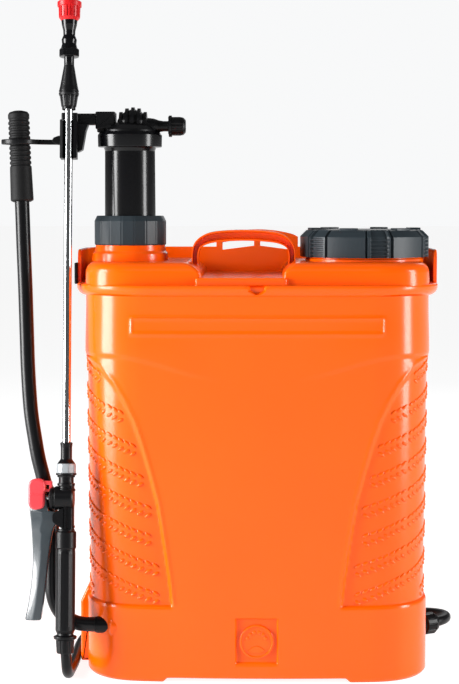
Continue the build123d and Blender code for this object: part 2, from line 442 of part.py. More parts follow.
# the hose: out of the nut at the right, once round a loop behind the tank, and forward to the gun at the left
HOSE_ROUTE = [
    (182.2, 7.0, 33), (194.3, 14.0, 33), (203.7, 24.4, 33), (208.5, 37.6, 32.6), (208.0, 51.6, 31.6),
    (202.4, 65.5, 30), (191.8, 82.5, 27), (173.7, 101.2, 22), (148, 114, 15), (116, 122, 9.5), (80, 128, 6.4),
    (42, 130, 5.9), (2, 127, 5.8), (-38, 125, 5.7),
    (-72, 131, 5.8), (-97, 153, 5.9), (-108, 186, 5.8), (-101, 218, 5.9), (-77, 242, 5.8), (-45, 250, 5.9),
    (-12, 242, 5.8), (11, 218, 6.2), (18, 188, 8.0), (13, 160, 13.5), (-4, 136, 18.0), (-26, 115, 18.0),
    (-54, 106, 12.5), (-86, 106, 7.0), (-119, 112, 5.8), (-150, 109, 5.9), (-176, 91, 5.8), (-189, 62, 5.9),
    (-192.8, 28, 5.8), (-192.4, -8, 5.9), (-191.5, -42, 5.8), (-191.4, -68, 5.9), (-192.2, -86, 5.8),
    (-192.4, -98, 5.9), (-192.5, -106.5, 8.4), (-192.6, -113.2, 13.8), (-192.6, -116.9, 22.0)]
HOSE_ROUTE += [lance_point(0, 0, 10)]


def corner_radii(points):
    """The arc at each inner point: 0.45 of the shorter run, over the tangent of half the turn."""
    radii = []
    for before, here, after in zip(points, points[1:], points[2:]):
        first, second = Vector(*here) - Vector(*before), Vector(*after) - Vector(*here)
        turn = math.radians(first.get_angle(second))
        radii.append(0.45 * min(first.length, second.length) / math.tan(turn / 2))
    return radii


hose_radii = corner_radii(HOSE_ROUTE)
parts["hose"] = tube_along(HOSE_ROUTE, hose_radii, HOSE_DIAMETER / 2)
hose_path = FilletPolyline(*HOSE_ROUTE, radius=hose_radii)
print(f"hose length {hose_path.length:.0f} mm, tightest bend {min(hose_radii):.0f} mm")

# ---- harness: two padded shoulder straps on the wearer's side -------------------------------------------
def plate_yz(wire_edges, x0, x1):
    """A plate with an outline in the YZ plane, spread along X."""
    return Pos(x0, 0, 0) * extrude(make_face(wire_edges), x1 - x0, dir=(1, 0, 0))


def strap_pad(x):
    """A padded shoulder strap, hanging behind the tank."""
    front = ThreePointArc((0, 102.6, 424), (0, 122, 320), (0, 109, 200))
    back = ThreePointArc((0, 123, 200), (0, 138, 320), (0, 114, 424))
    foot, head = Line((0, 109, 200), (0, 123, 200)), Line((0, 114, 424), (0, 102.6, 424))
    outline = [front, foot, back, head]
    return plate_yz(outline, x - PAD_HALF_WIDTH, x + PAD_HALF_WIDTH)


def strap_webbing(x):
    """The webbing from the foot of a pad down to the lower hook."""
    outer = ThreePointArc((0, 117, 188), (0, 118, 120), (0, 106.4, 62))
    inner = ThreePointArc((0, 104, 62), (0, 115.6, 120), (0, 114.6, 188))
    outline = [outer, Line((0, 106.4, 62), (0, 104, 62)), inner, Line((0, 114.6, 188), (0, 117, 188))]
    return plate_yz(outline, x - WEBBING_HALF_WIDTH, x + WEBBING_HALF_WIDTH)


def strap_anchor(x):
    """The bracket that holds the top of a pad on the rear wall of the rim."""
    return block(x - 24, x + 24, STRAP_BACK, STRAP_BACK + 5, 410, 436) + block(
        x - 24, x + 24, STRAP_BACK + 5, 114, 424, 430)


def strap_hook(x):
    """The lower hook, on the back of the base."""
    return block(x - 19, x + 19, BODY_REAR, BODY_REAR + 4, 50, 84) + block(x - 19, x + 19, BODY_REAR, 108, 50, 62)


strap_places = (-STRAP_X, STRAP_X)
parts["left_shoulder_pad"], parts["right_shoulder_pad"] = [strap_pad(x) for x in strap_places]
parts["strap_webbing"] = Compound(children=[strap_webbing(x) for x in strap_places])
buckles = [block(x - 21, x + 21, 108, 124, 188, 200) for x in strap_places]
parts["strap_buckles"] = Compound(children=buckles)
brackets = [make(x) for x in strap_places for make in (strap_anchor, strap_hook)]
parts["strap_brackets"] = Compound(children=brackets)

# small catch on the left of the rim
parts["rim_catch"] = block(-193, -RIM_HALF_WIDTH, -35, -20, 410, 432)

for name, shape in parts.items():
    shape.label = name

os.makedirs("parts", exist_ok=True)
for name, shape in parts.items():
    export_step(shape, f"parts/{name}.step")
print(len(parts), "nodes")
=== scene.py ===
"""Backpack sprayer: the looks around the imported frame. Metres, +Z up, the wearer at +Y."""
from math import acos, atan, atan2, copysign, cos, degrees, dist, exp, hypot, pi, radians, sin, sqrt, tan

import bmesh
import bpy
from mathutils import Matrix, Vector


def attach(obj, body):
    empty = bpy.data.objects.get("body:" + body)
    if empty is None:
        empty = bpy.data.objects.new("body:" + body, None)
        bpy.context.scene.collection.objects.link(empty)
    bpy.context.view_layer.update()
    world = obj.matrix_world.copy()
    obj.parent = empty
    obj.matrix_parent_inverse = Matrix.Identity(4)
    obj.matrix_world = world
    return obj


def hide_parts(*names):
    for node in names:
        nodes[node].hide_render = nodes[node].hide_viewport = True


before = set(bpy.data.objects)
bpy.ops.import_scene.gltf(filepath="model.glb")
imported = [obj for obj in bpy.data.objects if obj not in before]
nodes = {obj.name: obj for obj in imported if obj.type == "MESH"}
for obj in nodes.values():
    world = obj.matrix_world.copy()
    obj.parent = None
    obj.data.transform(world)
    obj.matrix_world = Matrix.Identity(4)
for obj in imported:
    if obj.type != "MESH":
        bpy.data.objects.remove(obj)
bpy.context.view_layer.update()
MM = 0.001
LANCE_FOOT, LANCE_LEAN = (-194.2, -116, 31), atan(0.1323)
LANCE = Matrix.Translation(LANCE_FOOT) @ Matrix.Rotation(-LANCE_LEAN, 4, "X")


# ---- camera, light and floor ----
CAMERA_PLACE, CAMERA_LENS = (0, -1.806, 0.483), 89.5
CAMERA_TILT, CAMERA_YAW = radians(4.57), radians(0.93)
SOFTBOXES = [("key", (-1.88, -0.61, 0.62), (0.85, 1.5), 96), ("fill", (1.89, -0.58, 0.60), (0.5, 1.4), 42),
             ("front", (-0.3, -2.5, 2.3), (1.6, 1.2), 3), ("top", (0, 0.3, 2.4), (1.8, 1.8), 1.5),
             ("back", (0.5, 2.3, 1.3), (1.4, 1.2), 7)]  # name, place, size, watts
LIGHT_TARGET = (0, 0, 0.3)
ROOM_COLOUR, ROOM_STRENGTH, BACKDROP = (0.97, 0.98, 1, 1), 0.12, (0.94, 0.945, 0.95, 1)


def new_object(name, data):
    """An object with this data, linked to the scene."""
    made = bpy.data.objects.new(name, data)
    bpy.context.scene.collection.objects.link(made)
    return made


def new_node(tree, kind, inputs):
    """A shader node of this kind; each named input is set to a value or linked to a socket."""
    node = tree.nodes.new("ShaderNode" + kind)
    for name, value in inputs.items():
        if isinstance(value, bpy.types.NodeSocket):
            tree.links.new(value, node.inputs[name])
        else:
            node.inputs[name].default_value = value
    return node


def add_camera():
    data = bpy.data.cameras.new("camera")
    data.lens = CAMERA_LENS
    camera = new_object("camera", data)
    camera.location = CAMERA_PLACE
    flat = cos(CAMERA_TILT)
    look = Vector((-sin(CAMERA_YAW) * flat, cos(CAMERA_YAW) * flat, -sin(CAMERA_TILT)))
    camera.rotation_euler = look.to_track_quat("-Z", "Y").to_euler()
    bpy.context.scene.camera = camera


def add_softbox(name, place, size, power):
    data = bpy.data.lights.new(name, "AREA")
    data.shape = "RECTANGLE"
    data.size, data.size_y = size
    data.energy = power
    light = new_object(name, data)
    light.location = place
    light.rotation_euler = (Vector(LIGHT_TARGET) - Vector(place)).to_track_quat("-Z", "Y").to_euler()


def add_studio():
    """White surroundings for the camera, dim ones for the object, and soft boxes for its highlights."""
    scene = bpy.context.scene
    scene.view_settings.view_transform = "Standard"
    scene.world = bpy.data.worlds.new("studio")
    scene.world.use_nodes = True
    tree = scene.world.node_tree
    room = tree.nodes["Background"]
    room.inputs["Color"].default_value = ROOM_COLOUR
    room.inputs["Strength"].default_value = ROOM_STRENGTH
    seen = new_node(tree, "Background", {"Color": BACKDROP})
    path = new_node(tree, "LightPath", {})
    mix = new_node(tree, "MixShader", {"Fac": path.outputs["Is Camera Ray"]})
    tree.links.new(room.outputs["Background"], mix.inputs[1])
    tree.links.new(seen.outputs["Background"], mix.inputs[2])
    tree.links.new(mix.outputs["Shader"], tree.nodes["World Output"].inputs["Surface"])
    for softbox in SOFTBOXES:
        add_softbox(*softbox)


# ---- materials ----
def srgb(r, g, b):
    """Linear colour from 0 to 255 display values."""
    return tuple(((c / 255 + 0.055) / 1.055) ** 2.4 if c > 10 else c / 255 / 12.92 for c in (r, g, b)) + (1,)


def new_material(name, colour, rough, metallic=0, coat=0, specular=0.5):
    material = bpy.data.materials.new(name)
    material.use_nodes = True
    values = {"Base Color": colour, "Roughness": rough, "Metallic": metallic, "Coat Weight": coat,
        "Coat Roughness": 0.08, "Specular IOR Level": specular}
    for socket, value in values.items():
        material.node_tree.nodes["Principled BSDF"].inputs[socket].default_value = value
    return material


def feed(material, output, socket):
    """Links a node's output to an input of the material's shader."""
    tree = material.node_tree
    tree.links.new(output, tree.nodes["Principled BSDF"].inputs[socket])


def link_noise(material, scale, stretch=(1, 1, 1), detail=3):
    """A noise texture on object coordinates, stretched along the axes."""
    tree = material.node_tree
    coords = new_node(tree, "TexCoord", {})
    mapping = new_node(tree, "Mapping", {"Scale": stretch, "Vector": coords.outputs["Object"]})
    return new_node(tree, "TexNoise", {"Scale": scale, "Detail": detail, "Vector": mapping.outputs["Vector"]})


def vary_colour(material, noise, light, dark):
    ramp = new_node(material.node_tree, "ValToRGB", {"Fac": noise.outputs["Fac"]})
    low, high = ramp.color_ramp.elements
    low.position, low.color = 0.3, dark
    high.position, high.color = 0.7, light
    feed(material, ramp.outputs["Color"], "Base Color")


def vary_roughness(material, noise, low, high):
    spread = new_node(material.node_tree, "MapRange",
        {"Value": noise.outputs["Fac"], "To Min": low, "To Max": high})
    feed(material, spread.outputs["Result"], "Roughness")


def add_bump(material, height, strength, distance):
    bump = new_node(material.node_tree, "Bump", {"Strength": strength, "Distance": distance, "Height": height})
    feed(material, bump.outputs["Normal"], "Normal")


def toned(colour, share):
    """A colour made lighter or darker."""
    return tuple(min(1, c * share) for c in colour[:3]) + (1,)


def plastic(name, colour, rough, grain_scale, grain, coat=0, spread=0.12, specular=0.5):
    """Moulded plastic: slight tone drift, and fine grain in roughness and bump."""
    material = new_material(name, colour, rough, coat=coat, specular=specular)
    vary_colour(material, link_noise(material, 9, detail=2), colour, toned(colour, 1 - spread))
    fine = link_noise(material, grain_scale, detail=4)
    vary_roughness(material, fine, rough * 0.85, min(1, rough * 1.2))
    add_bump(material, fine.outputs["Fac"], grain, 0.0004)
    return material


def steel(name, colour, rough, stretch):
    """Drawn or turned metal, with fine lines along or around."""
    material = new_material(name, colour, rough, metallic=1)
    lines = link_noise(material, 260, stretch, detail=4)
    vary_roughness(material, lines, rough * 0.7, rough * 1.5)
    vary_colour(material, link_noise(material, 14, detail=2), colour, toned(colour, 0.86))
    add_bump(material, lines.outputs["Fac"], 0.06, 0.0002)
    return material


def woven(name, colour, threads_per_metre, sheen):
    """Woven webbing or cover cloth: two crossed sine waves on object coordinates."""
    material = new_material(name, colour, 0.85, specular=0.3)
    tree = material.node_tree
    shader = tree.nodes["Principled BSDF"]
    shader.inputs["Sheen Weight"].default_value = sheen
    shader.inputs["Sheen Roughness"].default_value = 0.4
    coords = new_node(tree, "TexCoord", {})
    both = new_node(tree, "Math", {})
    both.operation = "MAXIMUM"
    for turn, socket in zip((45, -45), both.inputs):
        mapping = new_node(tree, "Mapping", {"Rotation": (0, radians(turn), 0),
            "Vector": coords.outputs["Object"]})
        wave = new_node(tree, "TexWave", {"Scale": threads_per_metre / 20, "Distortion": 0.6,
            "Vector": mapping.outputs["Vector"]})
        tree.links.new(wave.outputs["Fac"], socket)
    ramp = new_node(tree, "ValToRGB", {"Fac": both.outputs["Value"]})
    for element, share in zip(ramp.color_ramp.elements, (0.45, 1.5)):
        element.color = toned(colour, share)
    feed(material, ramp.outputs["Color"], "Base Color")
    add_bump(material, both.outputs["Value"], 0.5, 0.0005)
    return material


ORANGE = plastic("orange_hdpe", srgb(252, 93, 1), 0.2, 700, 0.05, coat=0.05, spread=0.05, specular=0.28)
BLACK = plastic("black_nylon", srgb(8, 8, 10), 0.34, 900, 0.16, specular=0.22)
GLOSS = plastic("black_gloss", srgb(5, 5, 7), 0.19, 600, 0.06, specular=0.3)
GREY = plastic("blue_grey_pp", srgb(40, 48, 53), 0.38, 900, 0.14, specular=0.25)
TRIGGER = plastic("trigger_satin", srgb(52, 60, 65), 0.3, 900, 0.1, coat=0.6, specular=0.6)
RED = plastic("red_cap", srgb(196, 22, 26), 0.33, 800, 0.08, specular=0.3)
LOCK_RED = plastic("lock_red", srgb(238, 66, 74), 0.35, 800, 0.08)
WHITE = plastic("white_acetal", srgb(226, 226, 218), 0.4, 800, 0.05)
RUBBER = plastic("rubber", srgb(12, 12, 13), 0.62, 1200, 0.25, specular=0.2)
HOSE = plastic("hose_pvc", srgb(8, 8, 10), 0.34, 500, 0.06, specular=0.22)
LEVER = plastic("lever_powder_coat", srgb(7, 7, 9), 0.3, 1500, 0.12, specular=0.28)
STEEL = steel("drawn_steel", srgb(205, 207, 208), 0.14, (1, 1, 0.02))
ZINC = steel("zinc_steel", srgb(176, 178, 182), 0.35, (1, 1, 1))
WEBBING = woven("webbing", srgb(26, 26, 28), 1400, 0.3)
COVER = woven("pad_cover", srgb(34, 34, 37), 900, 0.4)

NODE_LOOKS = {node: look for look, names in ((ORANGE,
    "medallion tank_shell neck_collars rim_guard carry_handle"), (GLOSS, "air_chamber"),
    (GREY, "pump_gland_nut filler_cap"), (TRIGGER, "trigger"), (RED, "rocker_switch nozzle_cap"),
    (LOCK_RED, "trigger_lock"), (LEVER, "lever_tube"), (HOSE, "hose"), (WHITE, "nozzle_disc"),
    (STEEL, "lance_tube valve_spring valve_ball valve_stem trigger_pin"),
    (ZINC, "base_cover_screws crank_arm piston_rod pump_motor"),
    (RUBBER, "lever_grip pump_seals piston_cup filler_gasket lance_seal inner_hoses"),
    (WEBBING, "strap_webbing"), (COVER, "left_shoulder_pad right_shoulder_pad")) for node in names.split()}
for name, node in nodes.items():
    node.data.materials.clear()
    node.data.materials.append(NODE_LOOKS.get(name, BLACK))


# ---- building pieces ----
def add_piece(name, shape, stands_for, material=None, body="sprayer", crease=35):
    """Links a mesh, or a shape, as a visible piece that replaces a CAD node and rides on a body."""
    mesh = shape if isinstance(shape, bpy.types.Mesh) else mesh_from(*shape)
    piece = new_object(name, mesh)
    mesh.materials.clear()
    mesh.materials.append(material or NODE_LOOKS.get(stands_for, BLACK))
    mesh.shade_smooth()
    mesh.set_sharp_from_angle(angle=radians(crease))
    if crease < 90:
        piece.modifiers.new("flat_faces", "WEIGHTED_NORMAL").keep_sharp = True
    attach(piece, body)
    if stands_for:
        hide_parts(stands_for)
    return piece


def mesh_from(vertices, faces):
    """A mesh in metres from a shape in millimetres, its doubled points merged and faces turned outwards."""
    mesh = bpy.data.meshes.new("mesh")
    mesh.from_pydata([tuple(c * MM for c in v) for v in vertices], [], faces)
    mesh.validate()
    tidy = bmesh.new()
    tidy.from_mesh(mesh)
    bmesh.ops.remove_doubles(tidy, verts=tidy.verts, dist=0.00002)
    bmesh.ops.recalc_face_normals(tidy, faces=tidy.faces)
    tidy.to_mesh(mesh)
    tidy.free()
    return mesh


def skin(rings, caps=True, loop=False):
    """Vertices and faces of quads between rings of points with the same count."""
    count = len(rings[0])
    vertices = [p for ring in rings for p in ring]
    faces = []
    for r in range(len(rings) if loop else len(rings) - 1):
        here, there = r * count, (r + 1) % len(rings) * count
        for i in range(count):
            j = (i + 1) % count
            faces.append((here + i, here + j, there + j, there + i))
    if caps and not loop:
        faces.append(tuple(range(count))[::-1])
        faces.append(tuple(range(len(vertices) - count, len(vertices))))
    return vertices, faces


def rounded(points, radius, steps=4, closed=True):
    """A 2D outline with each corner replaced by an arc; radius may be one number or one per corner."""
    out, n = [], len(points)
    for i, here in enumerate(points):
        r = radius[i] if isinstance(radius, (list, tuple)) else radius
        if r <= 0 or (not closed and i in (0, n - 1)):
            out.append(tuple(here))
            continue
        p, a, b = Vector(here), Vector(points[i - 1]), Vector(points[(i + 1) % n])
        to_a, to_b = (a - p), (b - p)
        half = to_a.angle(to_b) / 2
        reach = min(r / tan(half), 0.49 * to_a.length, 0.49 * to_b.length)
        start, end = p + to_a.normalized() * reach, p + to_b.normalized() * reach
        for k in range(steps + 1):
            t = k / steps
            out.append(tuple(start.lerp(p, t).lerp(p.lerp(end, t), t)))
    return out


def lathe(profile, segments=64, spokes=None, bore=0, soften=0.5):
    """A turned shape about Z from (height, radius) pairs; spokes(angle, height) scales the radius."""
    inner = [(profile[0][0], bore)] if bore else []
    outer = [(profile[-1][0], bore)] if bore else []
    edge = rounded(inner + list(profile) + outer, soften, 2, closed=bool(bore))
    rings = []
    for height, radius in edge:
        ring = []
        for angle in around(segments):
            r = radius * (spokes(angle, height) if spokes and radius > bore + 0.5 else 1)
            ring.append((r * cos(angle), r * sin(angle), height))
        rings.append(ring)
    return skin(rings, caps=not bore, loop=bool(bore))


def facets(count, depth=1):
    """A radius scale that flattens a circle into a polygon with that many sides."""
    def scale(angle, height):
        step = 2 * pi / count
        off = (angle % step) - step / 2
        flat = cos(step / 2) / cos(off)
        return 1 - depth + depth * flat
    return scale


def ribs(count, depth, width=0.5):
    """A radius scale with raised ribs along the axis."""
    def scale(angle, height):
        phase = (angle * count / (2 * pi)) % 1
        return 1 if phase < width else 1 - depth
    return scale


def moved(shape, matrix):
    vertices, faces = shape
    return [tuple(matrix @ Vector(v)) for v in vertices], faces


def joined(*shapes):
    vertices, faces = [], []
    for more_vertices, more_faces in shapes:
        base = len(vertices)
        vertices += more_vertices
        faces += [tuple(i + base for i in face) for face in more_faces]
    return vertices, faces


def upright(x, y, z=0):
    """The lathe's axis left along Z."""
    return Matrix.Translation((x, y, z))


def along_x(x, y, z, flip=False):
    """The lathe's axis laid along X (or -X)."""
    turn = Matrix.Rotation(radians(-90 if flip else 90), 4, "Y")
    return Matrix.Translation((x, y, z)) @ turn


def along_y(x, y, z):
    """The lathe's axis laid along Y."""
    return Matrix.Translation((x, y, z)) @ Matrix.Rotation(radians(-90), 4, "X")


def prism(outline, low, high, edge=0.8, steps=3, axis="Y"):
    """An outline in XZ spread along Y (or in YZ along X, in XY along Z), with its rims rounded."""
    turn = sum(a[0] * b[1] - b[0] * a[1] for a, b in zip(outline, outline[1:] + outline[:1]))

    def ring(at, inset):
        points = []
        for i, p in enumerate(outline):
            before, after = Vector(outline[i - 1]), Vector(outline[(i + 1) % len(outline)])
            along = after - before
            normal = Vector((along.y, -along.x)).normalized() if along.length else Vector((0, 0))
            if turn < 0:
                normal = -normal
            q = Vector(p) - normal * inset
            points.append({"Y": (q.x, at, q.y), "X": (at, q.x, q.y), "Z": (q.x, q.y, at)}[axis])
        return points

    turns = [(edge * (1 - cos(a)), edge * (1 - sin(a))) for a in (pi / 2 * k / steps for k in range(steps + 1))]
    return skin([ring(low + rise, inset) for rise, inset in turns] + [ring(high - rise, inset)
        for rise, inset in reversed(turns)])


def box(x, y, corner, steps=3):
    """A rectangle between (low, high) pairs, with rounded corners."""
    return rounded([(x[0], y[0]), (x[1], y[0]), (x[1], y[1]), (x[0], y[1])], corner, steps)


def block(x, y, z, edge=1, steps=3):
    """A rounded block between (low, high) pairs."""
    return prism(box(x, z, edge), *y, edge, steps)


def swept(path, section):
    """A section (list of (across, depth)) carried along path points with normals: depth lies along Y."""
    rings = []
    for i, p in enumerate(path):
        before, after = path[max(i - 1, 0)], path[min(i + 1, len(path) - 1)]
        along = Vector((after[0] - before[0], after[1] - before[1])).normalized()
        normal = Vector((-along.y, along.x))
        scale = p[2] if len(p) > 2 else 1
        rings.append([(p[0] + normal.x * a * scale, d, p[1] + normal.y * a * scale) for a, d in section])
    return skin(rings)


def smooth_line(points, per_span=6):
    """Points of an open Catmull-Rom curve through 2D or 3D points."""
    ends = [points[0], *points, points[-1]]
    out = []
    for i in range(len(points) - 1):
        a, b, c, d = (Vector(p) for p in ends[i:i + 4])
        for k in range(per_span):
            t = k / per_span
            out.append(tuple(0.5 * ((2 * b) + (c - a) * t + (2 * a - 5 * b + 4 * c - d) * t * t
                + (3 * b - a - 3 * c + d) * t ** 3)))
    return out + [tuple(points[-1])]


def around(count):
    """Angles at even steps all the way round."""
    return [2 * pi * k / count for k in range(count)]


def mirrored(points):
    """The points of one half, then their mirror images on the other side, in reverse."""
    return points + [(-x, y) for x, y in reversed(points)]


def ease(value, low, high):
    """0 below low, 1 above high, smooth between."""
    t = min(max((value - low) / (high - low), 0), 1)
    return t * t * (3 - 2 * t)


def between(value, table):
    """Linear interpolation in a table of (value, result) rows."""
    for (a, fa), (b, fb) in zip(table, table[1:]):
        if value <= b:
            return fa + (fb - fa) * max(0, (value - a) / (b - a))
    return table[-1][1]


# ---- tank body ----
BODY_HALF_WIDTH, BODY_FRONT, BODY_REAR = 177, -108, 95
FRONT_CORNER, REAR_CORNER, FRONT_BULGE = 60, 46, 5
BODY_TOP, FLOOR_TOP, FLOOR_UNDER, BASE_WALL = 393, 91, 88, 6.6
SKIRT_TOP, PANEL_TOP, PANEL_REAR = 77, 331, 301
FIELD_EDGE = [(77, 85), (105, 88), (146, 94), (184, 100), (215, 108), (246, 117), (266, 124), (286, 134),
    (304, 146), (322, 165), (328, 195), (331, 230)]
SIDE_START = 211.2
PANEL_DEPTH, PANEL_DEEPER = 1.5, 1.9  # at the side panel's top, and how much more at its foot
SHOULDER_LOW, SHOULDER_RISE = 308, 24  # the crease across the front: its middle, and its rise to the sides
TEXT_HALF, TEXT_AT, TEXT_TALL = 128, 363, 10  # the upper front panel: half width, height, half height
WELL_HALF, WELL_AT, WELL_TALL, WELL_DEPTH = 22, 43, 24, 3  # the square recess behind the badge
FOOT_HALF, FOOT_TALL, FOOT_LIFT = 94, 8, 4  # the lifted edge between the two feet
RELIEF_ROWS, ROW_PITCH, ROW_TOP, ROW_SLOPE = 9, 28.8, 324, 0.34
LEAF_PITCH, LEAF_GAP, LEAF_SIZE = 7.2, 1.7, (9.4, 4.1, 2)
SHAFT_Y, SHAFT_Z, CRANK_REACH, CRANK_RISE = -88, 54, 70, radians(25)


def stations(length, count, first=1):
    """Even stations along a length."""
    return [length * i / count for i in range(first, count + 1)]


def outline_walk(half, front, rear, front_r, rear_r, steps):
    """Plan outline from the front middle to the rear middle, +X half: (run, x, y, nx, ny) rows."""
    straight, side, back = half - front_r, (rear - rear_r) - (front + front_r), half - rear_r
    front_arc, rear_arc = front_r * pi / 2, rear_r * pi / 2
    counts = [int(length / step) for length, step in zip((straight, front_arc, side, rear_arc, back), steps)]
    rows = [(x, x, front, 0, -1) for x in stations(straight, counts[0], 0)]
    run = straight
    rows += [(run + a * front_r, straight + front_r * sin(a), front + front_r * (1 - cos(a)), sin(a), -cos(a))
        for a in stations(pi / 2, counts[1])]
    run += front_arc
    rows += [(run + y, half, front + front_r + y, 1, 0) for y in stations(side, counts[2])]
    run += side
    rows += [(run + a * rear_r, back + rear_r * cos(a), rear - rear_r * (1 - sin(a)), cos(a), sin(a))
        for a in stations(pi / 2, counts[3])]
    run += rear_arc
    return rows + [(run + back - x, x, rear, 0, 1) for x in (back * (1 - t) for t in stations(1, counts[4]))]


def full_outline(rows):
    """Both halves of a walk, as one ring of (signed run, x, y, nx, ny)."""
    left = [(-s, -x, y, -nx, ny) for s, x, y, nx, ny in rows[-2:0:-1]]
    return rows + left


def bulge(x, span=125):
    return FRONT_BULGE * max(0, 1 - (x / span) ** 2)


BODY_WALK = full_outline(outline_walk(BODY_HALF_WIDTH, BODY_FRONT, BODY_REAR, FRONT_CORNER, REAR_CORNER,
    (1.55, 2.2, 3.4, 3.2, 5)))


def panel_depth(run, z):
    """How far inside the side panel a point of the wall is, in mm; negative outside it."""
    run = abs(run)
    slope = (between(z + 2, FIELD_EDGE) - between(z - 2, FIELD_EDGE)) / 4
    front = (run - between(z, FIELD_EDGE)) / hypot(1, slope)
    return min(front, PANEL_REAR - run, z - SKIRT_TOP, (PANEL_TOP - z) if run > 200 else front), front


def wall_offset(run, x, y, z):
    """Outward displacement of the tank wall at a point of its outline."""
    out = bulge(x) if y < BODY_FRONT + FRONT_CORNER else 0
    inside, front = panel_depth(run, z)
    depth = PANEL_DEPTH + PANEL_DEEPER * (PANEL_TOP - z) / (PANEL_TOP - SKIRT_TOP)
    out -= depth * ease(inside, -0.4, 2.4)
    if SKIRT_TOP < z < PANEL_TOP + 4 and front == inside:
        out += 0.8 * exp(-((front + 1.8) / 1.5) ** 2) * ease(z, SKIRT_TOP, SKIRT_TOP + 4)
    if y < BODY_FRONT + FRONT_CORNER + 2:
        line = SHOULDER_LOW + SHOULDER_RISE * ease(abs(x), 26, 150)
        out += 1.1 * ease(z, line - 1, line + 1.6) * ease(abs(x), 30, 120) * (1 - ease(z, line + 2, line + 55))
        sunk = min(TEXT_HALF - abs(x), TEXT_TALL - abs(z - TEXT_AT))
        out += 1.3 * ease(sunk, 0, 1.6) - 0.8 * ease(sunk, 2.6, 4)
        well = min(WELL_HALF - abs(x), WELL_TALL - abs(z - WELL_AT))
        out -= WELL_DEPTH * ease(well, 0, 1.8)
    out -= 2.4 * (1 - ease(z, 0, 4)) ** 2
    return out


def wall_point(row, z):
    s, x, y, nx, ny = row
    d = wall_offset(s, x, y, z)
    return (x + nx * d, y + ny * d, z)


def build_body():
    """The tank's outer wall, with a thin wall turned in at the base and closed under the deck."""
    heights = []
    z = 0
    while z < BODY_TOP:
        heights.append(z)
        z += 1 if z < 6 else 1.7 if (z < 92 or 350 < z < 376) else 2
    heights.append(BODY_TOP)
    inset = [(x - nx * BASE_WALL, y - ny * BASE_WALL) for s, x, y, nx, ny in BODY_WALK]
    rings = [[(x, y, FLOOR_UNDER) for x, y in inset], [(x, y, 2) for x, y in inset]]
    for z in heights:
        ring = []
        for row in BODY_WALK:
            px, py, pz = wall_point(row, z)
            lift = FOOT_LIFT * ease(FOOT_HALF - abs(row[1]), -2, 4) * max(0,
                1 - z / FOOT_TALL) if row[2] < -90 else 0
            ring.append((px, py, pz + lift))
        rings.append(ring)
    rings += [[(x, y, BODY_TOP) for x, y in inset], [(x, y, FLOOR_TOP) for x, y in inset]]
    return skin(rings)


def leaflet(place, along, out_dir, length, width, height):
    """A small raised leaf on the wall: a lens about 'along', standing out along out_dir."""
    across = out_dir.cross(along).normalized()
    rings = []
    for k in range(1, 5):
        t = k / 5
        wide = width / 2 * sin(pi * t) ** 0.75 * (1.12 - 0.35 * t)
        tall = height * sin(pi * t) ** 0.7
        base = place + along * (length * t)
        rings.append([tuple(base + across * (wide * cos(a)) + out_dir * (tall * sin(a) - 0.5))
            for a in (pi * i / 6 for i in range(7))])
    tip, tail = tuple(place + along * length - out_dir * 0.5), tuple(place - out_dir * 0.5)
    rings = [[tail] * 7] + rings + [[tip] * 7]
    return skin(rings, caps=False)


def build_relief():
    """Nine sprays of plain leaves on each side panel, slanting down towards the middle."""
    shapes = []
    half = [row for row in BODY_WALK if row[0] >= 0]
    for k in range(RELIEF_ROWS):
        top = ROW_TOP - k * ROW_PITCH
        run = SIDE_START + 82
        while run > 80:
            height = top - ROW_SLOPE * max(0, SIDE_START - 6 - run)
            inside, front = panel_depth(run, height)
            room, front_low = panel_depth(run - 4, height - 5)
            if inside > 5 and room > 3 and front_low > 2 and height > SKIRT_TOP + 9:
                i = min(range(len(half)), key=lambda j: abs(half[j][0] - run))
                s, x, y, nx, ny = half[i]
                towards = half[min(i + 2, len(half) - 1)]
                flat = Vector((towards[1] - x, towards[2] - y, 0)).normalized()
                place = Vector(wall_point(half[i], height))
                for up, lean in ((1, radians(36)), (-1, radians(-30))):
                    along = flat * cos(lean) + Vector((0, 0, sin(lean)))
                    for side in (1, -1):
                        spot, heading, out = (Vector((v.x * side, v.y, v.z))
                            for v in (place + Vector((0, 0, LEAF_GAP * up)), along, Vector((nx, ny, 0))))
                        shapes.append(leaflet(spot, heading, out, *LEAF_SIZE))
            run -= LEAF_PITCH
    return joined(*shapes)


add_piece("tank_body", build_body(), "tank_shell")
add_piece("leaf_relief", build_relief(), "tank_shell", crease=60)
boss = rounded([(-170, 4), (-185.5, 4), (-185.5, 68), (-178, 84), (-170, 84)], [1, 2.5, 4, 3, 1])
shaft_boss = lathe([(-151, 11.5), (-149, 14.2), (-118, 14.8)], 64, soften=2.2)
add_piece("shaft_boss", moved(shaft_boss, along_x(0, SHAFT_Y, SHAFT_Z)), "tank_shell")
sleeves = [lathe([(-166, 8), (-163, 8.6), (-151, 8.6)], 48, bore=7.5, soften=0.6),
    lathe([(-128, 10.4), (-116, 10.4)], 48, bore=7.5, soften=0.6)]
sleeves = [moved(sleeve, along_x(0, SHAFT_Y, SHAFT_Z)) for sleeve in sleeves]
add_piece("bushing_sleeves", joined(*sleeves), "lever_bushings")


def crank_outline(hub, hub_radius, eye, eye_radius):
    """The outline round two circles of different size, as a closed list of points."""
    run = dist(hub, eye)
    heading = atan2(eye[1] - hub[1], eye[0] - hub[0])
    half = acos((hub_radius - eye_radius) / run)
    points = []
    for (u, v), radius, start, sweep in ((eye, eye_radius, heading - half, 2 * half),
            (hub, hub_radius, heading + half, 2 * (pi - half))):
        for k in range(17):
            angle = start + sweep * k / 16
            points.append((u + radius * cos(angle), v + radius * sin(angle)))
    return points


